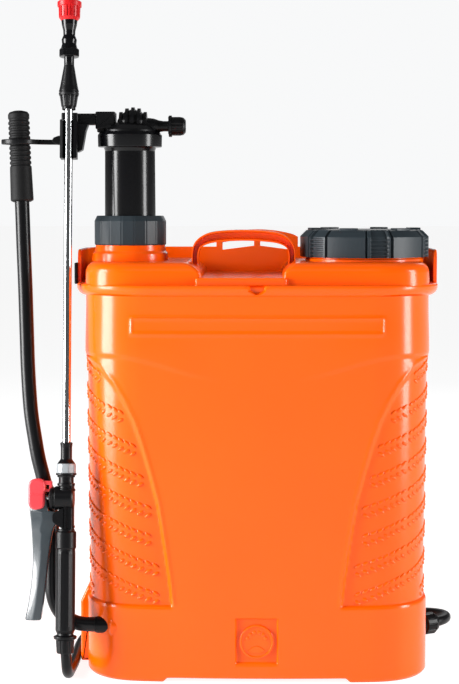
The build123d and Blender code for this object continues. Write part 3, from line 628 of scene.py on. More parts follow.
CRANK_PIN = (SHAFT_Y + CRANK_REACH * cos(CRANK_RISE), SHAFT_Z + CRANK_REACH * sin(CRANK_RISE))
crank_plate = prism(crank_outline((SHAFT_Y, SHAFT_Z), 11, CRANK_PIN, 8), -147, -139, 0.6, 2, axis="X")
crank_pin = moved(lathe([(-150, 4), (-125, 4)], 32, soften=0.5), along_x(0, *CRANK_PIN))
add_piece("crank_plate", joined(crank_plate, crank_pin), "crank_arm", body="lever")
add_piece("side_boss", prism(boss, -44, 46, 3, 4), "tank_shell")

# ---- deck, necks and rim ----
COLLAR_LOW, COLLAR_TOP, DECK_TOP, DECK_HALF, DECK_FRONT, DECK_REAR = 391.5, 404, 426.5, 177.8, -104, 88
RIM_HALF, RIM_FRONT, RIM_REAR, RIM_WALL, SIDE_WALL_TOP, SIDE_WALL_FRONT = 187.6, -112.5, 97, 3.5, 438, -28
VALLEY_TOP, VALLEY_LOW, VALLEY_FLOOR = (-65.5, 33.5), (-53, 24), 412
PUMP_AT, CAP_AT, FILLER_BORE = (-133, -20), (112, -20), 57.3
DECK_ROUND, RIM_CORNERS, NOTCH_RADIUS, RIM_END_ROUND = 11, (80, 54), 9.4, 7
ARCH_HALF, SLOT_END, SLOT_START, ARCH_LOW = 45.5, 38.5, 3.5, 430  # the rear arch and its two slots
QUARTER_TURN = pi / 2


def deck_levels():
    """(height, inset) rows of the deck: a steep side, then a round edge."""
    rise = [(COLLAR_TOP - 2, 0), (DECK_TOP - DECK_ROUND, 0.6)]
    for k in range(1, 7):
        a = QUARTER_TURN * k / 6
        rise.append((DECK_TOP - DECK_ROUND * (1 - sin(a)), 0.6 + DECK_ROUND * (1 - cos(a))))
    return rise


def deck_ring(side, z, inset):
    """Plan outline of one deck half at a height, pulled in by inset."""
    t = min(max((z - VALLEY_FLOOR) / (DECK_TOP - VALLEY_FLOOR), 0), 1)
    inner = VALLEY_LOW[side] + (VALLEY_TOP[side] - VALLEY_LOW[side]) * t
    far = (-1, 1)[side] * (DECK_HALF - inset)
    near = inner + (-1, 1)[side] * inset * 0.55
    low, high = DECK_FRONT + inset, DECK_REAR - inset * 0.4
    corners = [(near, low), (far, low), (far, high), (near, high)]
    if side == 0:
        corners = corners[::-1]
    radii = [5, 58 - inset, 42 - inset, 3]
    ring = rounded(corners, radii if side == 1 else radii[::-1], 10)
    return [(x, y, z) for x, y in ring]


def build_deck(side):
    rings = [deck_ring(side, z, inset) for z, inset in deck_levels()]
    if side == 0:
        return skin(rings)
    cx, cy = CAP_AT
    bearings = [atan2(y - cy, x - cx) for x, y, z in rings[-1]]
    for radius, z in ((FILLER_BORE + 1, DECK_TOP), (FILLER_BORE, DECK_TOP - 1), (FILLER_BORE, COLLAR_TOP - 2)):
        rings.append([(cx + radius * cos(a), cy + radius * sin(a), z) for a in bearings])
    return skin(rings, loop=True)


def collar_profile():
    """Closed section of the collar: (distance out from the rim's outline, height)."""
    low_turn, top_turn = 9, 2.6
    angles = [QUARTER_TURN * k / 9 for k in range(10)]
    low = [(low_turn * (sin(a) - 1), COLLAR_LOW + low_turn * (1 - cos(a))) for a in angles]
    top = [(top_turn * (cos(a) - 1), COLLAR_TOP + top_turn * (sin(a) - 1)) for a in angles]
    return [(-17, COLLAR_LOW)] + low + top + [(-17, COLLAR_TOP)]


RIM_WALK = full_outline(outline_walk(RIM_HALF, RIM_FRONT, RIM_REAR, *RIM_CORNERS, (2.2, 3.2, 6, 3.2, 3)))


def build_collar():
    """The collar round the deck, swelling at the front, with a thumb notch in its middle."""
    rings = []
    for d, z in collar_profile():
        ring = []
        for s, x, y, nx, ny in RIM_WALK:
            swell = bulge(x, 130) * 0.9 if y < RIM_FRONT + 80 else 0
            notch = 0
            if y < 0 and abs(x) < 10 and z < COLLAR_TOP:
                bottom = COLLAR_TOP - 8.6 * sqrt(max(1 - (x / NOTCH_RADIUS) ** 2, 0))
                notch = 4.6 * ease(z, bottom - 0.5, bottom + 0.9) * ease(NOTCH_RADIUS - abs(x), 0, 1.2)
            out = d + swell - (notch if d > -6 else 0)
            ring.append((x + nx * out, y + ny * out, z))
        rings.append(ring)
    return skin(rings, loop=True)


def build_rim_wall():
    """The thin wall along the sides and the back of the rim, low under the rear arch's slots."""
    half = outline_walk(RIM_HALF, RIM_FRONT, RIM_REAR, *RIM_CORNERS, (2.2, 3.2, 1.6, 3.2, 3))
    back = [row for row in half if row[2] >= SIDE_WALL_FRONT]
    start = back[0][0]
    path = [(-s, -x, y, -nx, ny) for s, x, y, nx, ny in back][:-1] + back[::-1]
    rings = []
    for s, x, y, nx, ny in path:
        tail = abs(s) - start
        away = RIM_END_ROUND - min(tail, RIM_END_ROUND)
        top = SIDE_WALL_TOP - (RIM_END_ROUND - sqrt(RIM_END_ROUND ** 2 - away ** 2))
        if y > 80 and abs(x) < ARCH_HALF:
            top = 434.5 + 5 * (1 - min(abs(x), SLOT_END) / SLOT_END)
        section = rounded([(0, COLLAR_TOP - 6), (0, top), (-RIM_WALL, top), (-RIM_WALL, COLLAR_TOP - 6)],
            [0, 1.4, 1.4, 0], 3)
        rings.append([(x + nx * d, y + ny * d, z) for d, z in section])
    return skin(rings)


def build_arch_back():
    """The raised plate behind the handle, with two slots: its top strip and its three posts."""
    rise = [(-ARCH_HALF, 449), (-38, 452.5), (-20, 456)]
    top = smooth_line(rise + [(0, 457.3)] + mirrored(rise)[3:], 4)
    low = mirrored([(ARCH_HALF, ARCH_LOW), (SLOT_END, ARCH_LOW), (SLOT_END, 442.6), (20, 445.8),
        (SLOT_START, 448.7), (SLOT_START, 432)])
    return prism(top + low, RIM_REAR - RIM_WALL + 0.1, RIM_REAR - 0.1, 0.7, 2)


for side, name in enumerate(("deck_left", "deck_right")):
    add_piece(name, build_deck(side), "tank_shell")
valley = box((-62, 30), (DECK_FRONT - 3.4, DECK_REAR), 3)
add_piece("valley_floor", prism(valley, COLLAR_TOP - 3, VALLEY_FLOOR - 0.6, 1.6, 4, "Z"), "tank_shell")
pump_profile = [(424, 40.4), (430, 39.8), (434.2, 39.2), (436.2, 37), (444.5, 36)]
pump_neck = moved(lathe(pump_profile, 96, bore=33, soften=2.6), upright(*PUMP_AT))
filler_neck = [(424, 61.5), (428.6, 61.5), (429.4, 60.4), (432.5, 60.2), (433.5, 59.6)]
filler_thread = [(436, 59.6), (437, 60.6), (438.4, 60.6), (439.4, 59.6), (443, 59.6), (444, 60.6),
    (445.4, 60.6), (446.4, 59.6), (451, 59.6)]
necks = joined(pump_neck, moved(lathe(filler_neck + filler_thread, 96, bore=FILLER_BORE, soften=0.4),
    upright(*CAP_AT)))
add_piece("tank_necks", necks, "neck_collars")
add_piece("rim_collar", build_collar(), "rim_guard")
add_piece("rim_wall", build_rim_wall(), "rim_guard")
add_piece("rim_back_arch", build_arch_back(), "rim_guard")


# ---- carry handle ----
def build_handle():
    """A channel section with two bright edges, open to the front, carried round the arch."""
    centre = smooth_line([(-64, 423, 0.62), (-64, 435, 0.62), (-60.6, 443.5, 0.78), (-51.5, 449.2, 0.95),
        (-38, 451.8, 1), (-14, 452.9, 1), (10, 451.8, 1), (24, 449.2, 0.95), (32.8, 443.5, 0.78),
        (36, 435, 0.62), (36, 423, 0.62)], 6)
    wide, lip, front, floor_at, back = 5.6, 1.8, -47.5, -37, -15
    section = rounded(mirrored([(-wide, back), (-wide, front), (-wide + lip, front),
        (-wide + lip + 0.5, floor_at)]), [2, 0.7, 0.7, 0.8, 0.8, 0.7, 0.7, 2], 3)
    return swept(centre, section)


add_piece("carry_handle_arch", build_handle(), "carry_handle")


# ---- pump ----
def banded(low, high, scale):
    """A radius scale that only acts between two heights."""
    return lambda angle, height: scale(angle, height) if low <= height <= high else 1


def grooved_facets(count, depth, groove):
    """Flat facets with a fine groove between them."""
    flat, step = facets(count, depth), 2 * pi / count

    def scale(angle, height):
        off = angle % step
        return flat(angle, height) * (1 - groove * (min(off, step - off) < 0.03))
    return scale


PUMP_Y, OUTLET_Z, DOME_X = PUMP_AT[1], 566, -129.5
NUT_FACETS = grooved_facets(18, 1, 0.012)
gland = lathe([(442.5, 37), (443.6, 37.7), (467.5, 37.7), (473, 35)], 180, NUT_FACETS, bore=27, soften=0.9)
add_piece("gland_nut", moved(gland, upright(*PUMP_AT)), "pump_gland_nut", crease=16)
chamber = lathe([(446, 32.5), (450, 32.5), (450.5, 26.6), (540, 26.1), (543.6, 27.2), (544.2, 33.2),
    (556.8, 33.5), (560, 31.4)], 96, soften=1)
add_piece("air_chamber_body", moved(chamber, upright(*PUMP_AT)), "air_chamber")


def build_pump_head():
    """Shoulder, finned dome, block, arm and outlet branch."""
    shoulder = lathe([(559.6, 28.5), (562.4, 28), (566, 23.5), (569.5, 17.5)], 64, soften=1.5)
    dome = lathe([(0, 17.2), (5.5, 16.6), (11, 13.4), (15, 8), (16.8, 2.5)], 56, soften=2.5)
    parts = [moved(shoulder, upright(*PUMP_AT)), moved(dome, upright(DOME_X, PUMP_Y, 566.5))]
    for k in range(5):
        offset = (k - 2) * 6.3
        radius = sqrt(18.9 ** 2 - offset ** 2)
        fin = lathe([(-1.6, radius), (1.6, radius)], 56, soften=1.1)
        parts.append(moved(fin, along_x(DOME_X + offset, PUMP_Y, 566.8)))
    parts += [block((-168, -147.5), (-32, -10), (562.6, 580.8), 1.6),
        block((-166.5, -149), (-30, -12), (559.5, 566), 1.2),
        moved(lathe([(0, 3.2), (3.5, 3.2), (4.2, 2.6)], 28), along_y(-153.5, -37, 563.8)),
        block((-200, -160), (-28.5, -17.5), (567, 579), 1.4)]
    outlet = lathe([(0, 9.4), (9, 8.6), (14, 8), (19, 6.2), (24, 5.4), (28.6, 5.4), (29.4, 11.2),
        (32.4, 11.2)], 48, soften=0.7)
    parts.append(moved(outlet, along_x(-121.6, PUMP_Y, OUTLET_Z)))
    for a in (radians(40 + 90 * turn) for turn in range(4)):
        y, z = PUMP_Y + 10.6 * cos(a), OUTLET_Z + 10.6 * sin(a)
        parts.append(block((-92.6, -89.4), (y - 2, y + 2), (z - 1.6, z + 1.6), 0.6, 2))
    return joined(*parts)


add_piece("pump_head_casting", build_pump_head(), "pump_head")
outlet_plug = lathe([(0, 9.7), (8.5, 9.7), (12, 9), (14.3, 6.6)], 96, banded(0.6, 10.5, ribs(12, 0.09, 0.62)),
    soften=1.2)
add_piece("outlet_cap_ribbed", moved(outlet_plug, along_x(-89, PUMP_Y, OUTLET_Z)), "outlet_cap",
    body="outlet_cap", crease=30)

# ---- filler cap ----
CAP_RADIUS, CAP_LOW, CAP_HIGH, CAP_CHAMFER, CAP_BORE = 67.2, 430.5, 458.2, 451.6, 57.9
CAP_PERIODS, CAP_FACET_AT, FACET_HALF, CAP_COLUMNS = 6, radians(-110), 17.2, 252


def cap_radius(angle, z):
    """Six smooth facets and six recessed ribbed grips between raised frames."""
    period = 2 * pi / CAP_PERIODS
    off = degrees((angle - CAP_FACET_AT + period / 2) % period - period / 2)
    base = CAP_RADIUS - max(0, z - CAP_CHAMFER) * 1.02
    if abs(off) < FACET_HALF:
        return base * (0.5 + 0.5 * cos(radians(FACET_HALF)) / cos(radians(off)))
    if abs(off) < 18.6:
        return base - 2.6
    if abs(off) < 22:
        return base + 0.1
    rib = ((z - 432.2) % 3.9) < 2 and z < 450.5
    return base - (1.5 if rib else 2.8)


def build_filler_cap():
    cx, cy = CAP_AT
    angles = around(CAP_COLUMNS)

    def ring(z, radius=None):
        reach = [radius or cap_radius(a, z) for a in angles]
        return [(cx + r * cos(a), cy + r * sin(a), z) for r, a in zip(reach, angles)]

    rings = [ring(456, 0.6), ring(456, CAP_BORE - 1), ring(455, CAP_BORE), ring(CAP_LOW, CAP_BORE)]
    z = CAP_LOW
    while z <= CAP_HIGH:
        rings.append(ring(z))
        z += 0.65
    for radius, rise in ((57.5, 0.5), (56.5, 0.6), (55.5, -0.4), (41, -0.4), (40, 0.3), (38, 0.6), (0.6, 0.8)):
        rings.append(ring(CAP_HIGH + rise, radius))
    parts = [skin(rings)]
    for k in range(CAP_PERIODS):
        a0 = CAP_FACET_AT + 2 * pi * k / CAP_PERIODS
        arc = [(r, a0 + radians(t)) for r, span in ((47.5, (-9, -3, 3, 9)), (59, (9, 3, -3, -9))) for t in span]
        lug = [(cx + r * cos(a), cy + r * sin(a)) for r, a in arc]
        parts.append(prism(lug, CAP_HIGH - 1.5, CAP_HIGH + 2.4, 0.8, 2, "Z"))
    return joined(*parts)


add_piece("filler_cap_moulding", build_filler_cap(), "filler_cap", body="filler_cap", crease=28)


# ---- lever ----
def tube(points, radius, sides=24):
    """A round tube along a 3D path."""
    rings, side = [], None
    for i, p in enumerate(points):
        p = Vector(p)
        along = (Vector(points[min(i + 1, len(points) - 1)]) - Vector(points[max(i - 1, 0)])).normalized()
        side = side or along.orthogonal().normalized()
        side = (side - along * side.dot(along)).normalized()
        other = along.cross(side)
        rings.append([tuple(p + (side * cos(a) + other * sin(a)) * radius) for a in around(sides)])
    return skin(rings)


LEVER_LEAN, LEVER_RADIUS, GRIP_RINGS, GRIP_PITCH = 0.0988, 7.5, 9, 5.15


def lever_y(z):
    """The lever leans back as it rises."""
    return SHAFT_Y + LEVER_LEAN * max(0, z - SHAFT_Z)


LEVER_LINE = [(-114, 54), (-140, 54), (-166, 54), (-186, 56.2), (-201, 65.5), (-208.8, 81), (-210.5, 100),
    (-210.7, 130), (-211.4, 160), (-215.5, 186), (-220.6, 206), (-225.4, 225), (-229, 245), (-232.2, 265),
    (-234.3, 285), (-236.4, 318), (-237.6, 350), (-239.4, 400), (-241.2, 440), (-242.8, 480), (-246.2, 556)]
lever = tube(smooth_line([(x, lever_y(z), z) for x, z in LEVER_LINE], 7), LEVER_RADIUS, 32)
add_piece("lever_bar", lever, "lever_tube", body="lever")


def between_points(low, high):
    """The lathe's axis laid from one point towards another."""
    low, high = Vector(low), Vector(high)
    return Matrix.Translation(low) @ (high - low).to_track_quat("Z", "Y").to_matrix().to_4x4()


grip_profile = [(0, 9.6), (1.2, 11.7), (3, 11.8), (36, 11.2), (37.2, 10.2)]
for k in range(GRIP_RINGS):
    foot = 37.8 + GRIP_PITCH * k
    grip_profile += [(foot + 0.5, 10.1), (foot + 1.3, 11.1), (foot + 3.4, 11.1), (foot + 4.3, 10.1)]
grip_profile += [(84.8, 10.1), (86, 11), (90.2, 11), (92.6, 9.4), (93.8, 5.5)]
grip_frame = between_points((-242.9, lever_y(487.6), 487.6), (-247.2, lever_y(580), 580))
add_piece("lever_grip_ribbed", moved(lathe(grip_profile, 64, soften=0.8), grip_frame), "lever_grip",
    body="lever", crease=50)


HOOK_AT, HOOK_RADIUS, HOOK_HEIGHT = (-246, -39.1), 16.2, 549


def build_hook():
    """The ring that holds the stowed lever, open to the rear, its tail and the stop on the clip."""
    (x, y), radius = HOOK_AT, HOOK_RADIUS
    ring = [(x + radius * cos(radians(a)), y + radius * sin(radians(a))) for a in range(118, 332, 6)]
    path = ring + smooth_line([(-230.6, -45), (-224.5, -38.5), (-214, -34.2), (-203, -33.4)], 5)[1:]
    section = box((-2.4, 2.4), (-2.6, 2.6), 1.1)
    flat = moved(swept(path, section), along_y(0, 0, HOOK_HEIGHT))
    nub = rounded([(-213.5, 549.5), (-211, 553.8), (-206, 555.6), (-202.5, 555.8), (-202.5, 546.4),
        (-207, 546.2)], [1.6, 2.5, 1, 0.4, 0.4, 2], 3)
    return joined(flat, prism(nub, -38.2, -29.2, 1.2, 3))


add_piece("lever_hook_ring", build_hook(), "lever_hook")


# ---- lance and gun ----
def lance_piece(name, shapes, stands_for, **looks):
    """A piece built from shapes in the lance's own frame: z along it from the foot."""
    return add_piece(name, moved(joined(*shapes), LANCE), stands_for, **looks)


clip = [(-8.6, -4.6), (-8.6, 8.6), (8.6, 8.6), (8.6, -3.6), (5.6, -4.4), (4.7, -0.8), (3.6, 2.9), (0, 4.7),
    (-3.6, 2.9), (-4.7, -0.8), (-5.8, -5.4)]
jaw = prism(clip, 505, 545, 0.7, 2, "Z")
pad = prism(rounded([(-8, 7), (-8, 12), (8, 12), (8, 7)], 1, 2), 507, 543, 0.8, 2, "Z")
clip_arm = joined(moved(joined(jaw, pad), LANCE), block((-202.5, -185.5), (-39, -17.6), (556, 579.2), 1.4),
    prism(rounded([(-187, 538), (-187, 568), (-175, 568), (-178, 560), (-181.5, 541)], 1, 2), -36, -20, 0.8, 2))
add_piece("lance_clip_jaw", clip_arm, "lance_clip")

red_ribs = banded(651.5, 662.8, ribs(20, 0.07, 0.55))
red = lathe([(648.4, 8.4), (651.4, 10.9), (662.6, 11.3), (663, 12.5), (667.6, 12.5), (668.5, 11.4)], 160,
    red_ribs, bore=5, soften=0.5)
lance_piece("nozzle_cap_ribbed", [red], "nozzle_cap", body="nozzle_cap", crease=25)
hexed = banded(611.3, 618.6, facets(6, 0.9))
spindle = lathe([(604, 5.2), (610.3, 5.2), (610.6, 9.9), (611.5, 10.2), (618.4, 10.2), (619.2, 8.6),
    (624, 7.4), (628.5, 7.9), (633, 6.1), (638, 6.3), (644, 7.8), (649, 8.4)], 120, hexed, soften=0.8)
lance_piece("nozzle_spindle", [spindle], "nozzle_body", material=GLOSS)
cone = banded(581, 599.8, ribs(14, 0.11, 0.55))
taper = banded(559.2, 569.8, ribs(14, 0.1, 0.55))
socket = [lathe([(574.9, 10.2), (579.6, 9.2), (580.4, 9), (600.4, 5.5), (601.5, 5.2), (604.2, 5.2)], 112, cone,
    soften=0.5), lathe([(555.8, 6.9), (558.4, 6.9), (558.9, 7.7), (570, 9.5), (570.4, 8.6)], 112, taper,
    soften=0.4), lathe([(570.2, 9.9), (571.8, 10.4), (573, 10.4), (573.3, 9.3), (574, 9.3), (574.3, 10.4),
    (575.6, 10.2)], 64, soften=0.4)]
lance_piece("nozzle_socket_ribbed", socket, "nozzle_socket", crease=30)
lance_piece("lance_socket_neck", [lathe([(179.8, 8.6), (180.4, 10.5), (182.2, 10.5), (182.6, 8.9),
    (191.6, 8.9), (192.2, 9.1), (196.4, 6), (197.4, 5.8), (208.6, 5.8), (213, 6.4), (213.8, 5)], 64,
    soften=0.5)], "lance_socket")
NUT_METAL = plastic("nut_grey", srgb(150, 155, 158), 0.34, 700, 0.06)
lance_piece("lance_nut", [lathe([(182.4, 9.5), (183.2, 10), (190.6, 10), (192, 9.2)], 120,
    banded(182.9, 191, grooved_facets(10, 0.8, 0.05)), bore=6, soften=0.5)], "lance_socket",
    material=NUT_METAL, crease=20)


VALVE_AT = 157  # the valve cylinder's station along the lance


def build_gun_body():
    """Neck rings, spine, valve cylinder, collar, the trigger's ears and its bracket."""
    neck_rings = lathe([(158, 8), (163.6, 8.2), (164, 9.4), (166.4, 9.4), (166.8, 7.6), (169.2, 7.6),
        (169.6, 9), (172, 9), (172.4, 7.7), (178.6, 7.7), (180.2, 8.2)], 56, soften=0.4)
    stem = [(-4.2, -6.6), (6.2, -6.6), (8.2, -3.6), (8.2, 3.6), (6.2, 6.6), (-4.2, 6.6)]
    spine = prism(rounded(stem, 1.6, 3), 120, 172.5, 1.4, 3, "Z")
    rib = block((-1.6, 1.4), (-8, -5.6), (126, 168), 0.7, 2)
    notch_pad = block((3.4, 8.9), (-5.2, 5.2), (126.5, 129), 0.7, 2)
    valve = moved(lathe([(-8, 10.4), (-6.4, 11.8), (10.6, 12.1), (11.2, 11.1), (12.6, 11.1), (13.2, 12),
        (15.4, 11.8), (16.2, 10.4)], 64, soften=0.6), along_x(0, 0, VALVE_AT, True))
    ring_face = moved(lathe([(15.8, 7.6), (17, 7.2), (17.4, 5.8)], 48, bore=3.2, soften=0.4),
        along_x(0, 0, VALVE_AT, True))
    collar = lathe([(105.6, 9.8), (106.6, 10.6), (122.6, 10.6), (123.6, 9.4), (125.6, 8.6)], 64, soften=0.7)
    ears = [prism(rounded([(-13, 133), (-13, 141.5), (-3, 147), (-2, 147), (-2, 127), (-4, 127)],
        [4.2, 4.2, 1, 0, 0, 1], 4), low, low + 1.9, 0.5, 2) for low in (-8.6, 6.7)]
    bracket = block((-33.6, -15), (7.4, 10.4), (150.4, 159.6), 0.9, 2)
    return [neck_rings, spine, rib, notch_pad, valve, ring_face, collar, bracket] + ears


lance_piece("gun_body_moulding", build_gun_body(), "gun_body")


def handle_ridges(angle, height):
    """Four long rounded ridges on the handle tube, in pairs at its front and back."""
    bump = sum(exp(-((angle - radians(a)) / 0.13) ** 2) for a in (248, 292, 68, 112))
    return 0.965 + 0.05 * bump


lance_piece("gun_handle_tube", [lathe([(20.6, 8.6), (23.6, 9.9), (28, 10.25), (101, 10.25), (103.4, 9.7),
    (106, 9.7)], 120, banded(24, 103, handle_ridges), soften=0.8)], "gun_handle")
hose_nut = lathe([(0.2, 8), (1.2, 8.6), (13.8, 9.4), (15, 11.6), (17.6, 11.8), (18.6, 8.6), (21, 8.3)], 120,
    banded(1.4, 13.6, ribs(14, 0.06, 0.55)), bore=5.7, soften=0.6)
lance_piece("gun_nut_ribbed", [hose_nut], "gun_hose_nut", crease=30)

TRIGGER_EDGES = [(33.6, -39.6, -25.4), (35, -40.6, -24.2), (50, -37.4, -22.2), (70, -34.6, -20),
    (90, -33.2, -18), (104, -33.4, -16.2), (118, -34.2, -14.2), (126, -34.8, -12.6), (132, -35.4, -8.8),
    (136, -35.8, -6.2), (142.6, -36.6, -6.8), (144.2, -36.8, -17.6), (161.5, -36.6, -20.2), (163, -35.6, -21)]
TRIGGER_STATIONS = [33.6, 34.2, 35, 37, *range(40, 132, 4), 132, 134, 136, 138, 140, 142.6, 144.2, 148, 156,
    161.5, 163]


def build_trigger():
    """A finger lever with a keel line: thin at its outer edge, thickest at the keel."""
    rings = []
    for z in TRIGGER_STATIONS:
        left, right = (between(z, [(row[0], row[side]) for row in TRIGGER_EDGES]) for side in (1, 2))
        keel = left + (right - left) * (0.52 if z < 124 else 0.44)
        slim = 0.86 if z < 34.1 or z > 162.5 else 1
        half = [(left, -1.5 * slim), (left + 1, -3.1 * slim), (keel - 1.2, -6.1 * slim),
            (keel + 0.6, -6.6 * slim), (right - 1, -5.4 * slim), (right, -4.4 * slim)]
        rings.append([(x, y, z) for x, y in half] + [(x, -y, z) for x, y in reversed(half)])
    eye = moved(lathe([(-6.2, 4.6), (6.2, 4.6)], 36, soften=0.6), along_y(-8.5, 0, 137))
    return [skin(rings), eye]


lance_piece("trigger_lever", build_trigger(), "trigger", body="trigger", crease=25)
obround = box((-37.8, -20.8), (145.2, 176.8), 8.4, 8)
lock_shapes = [prism(obround, -7.6, 6.6, 2.6, 5), block((-22.5, -14.6), (-5.4, 0.5), (170.4, 174.6), 0.9, 2),
    block((-16.6, -13.8), (-5.4, 0.5), (163.6, 174.2), 0.9, 2),
    block((-22.5, -14.2), (-5, 0.5), (163.4, 166.2), 0.8, 2),
    block((-35.6, -23), (-8, -6.8), (160.2, 161.4), 0.4, 2)]
lance_piece("trigger_lock_slider", lock_shapes, "trigger_lock", body="trigger_lock")

# ---- medallion, hose nut and small parts ----
MEDALLION_Z = 42.5


def facing_front(x, y, z):
    """The lathe's axis laid towards the front."""
    return Matrix.Translation((x, y, z)) @ Matrix.Rotation(radians(90), 4, "X")


def build_medallion():
    """A plain disc badge: a rim, an arc of round beads and a low mound."""
    disc = lathe([(0, 17.4), (3.4, 17.4), (3.8, 16.6), (3.8, 15.6), (2.6, 15.2), (2.4, 0.5)], 72, soften=0.4)
    parts = [moved(disc, facing_front(0, -108.6, MEDALLION_Z))]
    for a in (radians(turn) for turn in range(20, 180, 28)):
        bead = lathe([(0, 2.2), (0.7, 2), (1.2, 0.9)], 18, soften=0.4)
        parts.append(moved(bead, facing_front(9.8 * cos(a), -110.8, MEDALLION_Z + 9.8 * sin(a))))
    mound = [(-8.5, 33.5), (-4, 37.2), (0, 38.3), (4, 37.2), (8.5, 33.5), (4, 31.2), (0, 30.6), (-4, 31.2)]
    parts.append(prism(mound, -112, -110.2, 0.5, 2))
    return joined(*parts)


add_piece("medallion_badge", build_medallion(), "medallion", crease=30)
outlet_frame = upright(177, 4, 33) @ Matrix.Rotation(radians(30), 4, "Z") @ along_x(0, 0, 0)
outlet_nut = lathe([(-2, 8.2), (2.4, 9.4), (3.2, 11.8), (14.4, 11.8), (15.4, 10.6), (18.6, 9.2), (19.4, 7.6)],
    120, banded(3.4, 14.2, ribs(12, 0.08, 0.6)), bore=5.7, soften=0.6)
add_piece("outlet_nut_ribbed", moved(outlet_nut, outlet_frame), "outlet_hose_nut", crease=30)

# the small clip on the left of the rim
catch = block((-190.6, -187.2), (-35, -20), (402, 424), 1)
add_piece("rim_catch_clip", catch, "rim_catch")

# The dark backing of the switch window and the charge port hides the orange wall behind them.
backing = joined(block((-21, -3), (95.1, 95.6), (32, 58), 0.1), block((9, 21), (95.1, 95.6), (38, 50), 0.1))
add_piece("panel_backing", backing, None, BLACK)


# ---- base cover ----
cover_outline = [(x - nx * 9, y - ny * 9) for s, x, y, nx, ny in BODY_WALK][::3]
cover_parts = [prism(cover_outline, 4.6, 8, 1, 2, "Z")]
for k in range(-5, 6):
    cover_parts.append(block((k * 12 - 2, k * 12 + 2), (-58, -18), (3.4, 5.4), 0.8, 2))
add_piece("base_cover_plate", joined(*cover_parts), "base_cover")

# ---- shoulder straps ----
STRAP_X = 85
PAD_LOW, PAD_MID, PAD_HIGH = (200, 116, 14), (320, 129.5, 16), (424, 108.6, 11.4)
PAD_HALF, PAD_SLACK, PAD_SWELL = 29, 0.66, 0.004
CHANNEL_AT, CHANNEL_ROW, CLOTH_FRAMES, VOXEL = 17.5, 37, 20, 0.0045


def through_three(z, column):
    """A parabola through the pad's low, middle and high rows: column 1 its place in Y, 2 its thickness."""
    (a, fa), (b, fb), (c, fc) = [(row[0], row[column]) for row in (PAD_LOW, PAD_MID, PAD_HIGH)]
    return (fa * (z - b) * (z - c) / ((a - b) * (a - c)) + fb * (z - a) * (z - c) / ((b - a) * (b - c))
            + fc * (z - a) * (z - b) / ((c - a) * (c - b)))


def pad_width(z):
    """Half width, with rounded ends and a neck towards the top."""
    low, high = PAD_LOW[0], PAD_HIGH[0]
    half = PAD_HALF - 7 * ease(z, 350, high)
    end = min(z - low, high - z)
    return half if end > 15 else half - 15 + sqrt(max(0, 225 - (15 - end) ** 2))


def build_pad(x):
    """The flat pad before it is filled: lens-shaped rings from its low end to its high end."""
    rings, count = [], 48
    for k in range(count + 1):
        z = PAD_LOW[0] + 1 + (PAD_HIGH[0] - PAD_LOW[0] - 2) * k / count
        half, y = pad_width(z), through_three(z, 1)
        thick = through_three(z, 2) / 2 * PAD_SLACK * (0.55 if k in (0, count) else 1)
        ring = []
        for a in around(28):
            c, s = cos(a), sin(a)
            ring.append((x + half * copysign(abs(c) ** 0.55, c), y + thick * copysign(abs(s) ** 0.7, s), z))
        rings.append(ring)
    return mesh_from(*skin(rings))


def remesh(mesh):
    """The mesh rebuilt as even voxel quads."""
    holder = new_object("remesh_holder", mesh)
    change = holder.modifiers.new("voxels", "REMESH")
    change.mode, change.voxel_size = "VOXEL", VOXEL
    even = bpy.data.meshes.new_from_object(holder.evaluated_get(bpy.context.evaluated_depsgraph_get()))
    bpy.data.objects.remove(holder)
    return even


def inflate(mesh, limit):
    """A short cloth simulation under inner pressure; no point may move further than limit."""
    holder = new_object("cloth_holder", mesh)
    cloth = holder.modifiers.new("cloth", "CLOTH")
    cloth.settings.use_pressure = True
    cloth.settings.uniform_pressure_force = 4
    cloth.settings.effector_weights.gravity = 0
    cloth.point_cache.frame_start, cloth.point_cache.frame_end = 1, CLOTH_FRAMES
    for number in range(1, CLOTH_FRAMES + 1):
        bpy.context.scene.frame_set(number)
    swollen = holder.evaluated_get(bpy.context.evaluated_depsgraph_get()).to_mesh()
    places = [v.co.copy() for v in swollen.vertices]
    bpy.data.objects.remove(holder)
    bpy.context.scene.frame_set(1)
    for v, place in zip(mesh.vertices, places):
        move = place - v.co
        v.co += move * min(1, limit / max(move.length, 1e-9))


def sew_channels(mesh, x):
    """Two long sewn channels and cross rows pressed into both faces of the pad."""
    mesh.update()
    normals = [v.normal.copy() for v in mesh.vertices]
    for v, normal in zip(mesh.vertices, normals):
        z, across = v.co.z / MM, abs(v.co.x / MM - x)
        press = 1.7 * exp(-((across - CHANNEL_AT) / 1.7) ** 2)
        if across < CHANNEL_AT and PAD_LOW[0] + 20 < z < PAD_HIGH[0] - 16:
            row = (z - PAD_LOW[0]) % CHANNEL_ROW
            press = max(press, 1.5 * exp(-((row - CHANNEL_ROW / 2) / 1.8) ** 2))
        if abs(normal.y) > 0.4:
            v.co -= normal * press * MM


def loop_tube(points, across, deep):
    """A closed tape-like tube round a loop of points that faces Y."""
    rings, n = [], len(points)
    for i in range(n):
        p, q, r = Vector(points[i - 1]), Vector(points[i]), Vector(points[(i + 1) % n])
        along = (r - p).normalized()
        side = along.cross(Vector((0, 1, 0))).normalized()
        rise = side.cross(along)
        rings.append([tuple(q + side * (across * cos(a)) + rise * (deep * sin(a))) for a in around(12)])
    return skin(rings, loop=True)


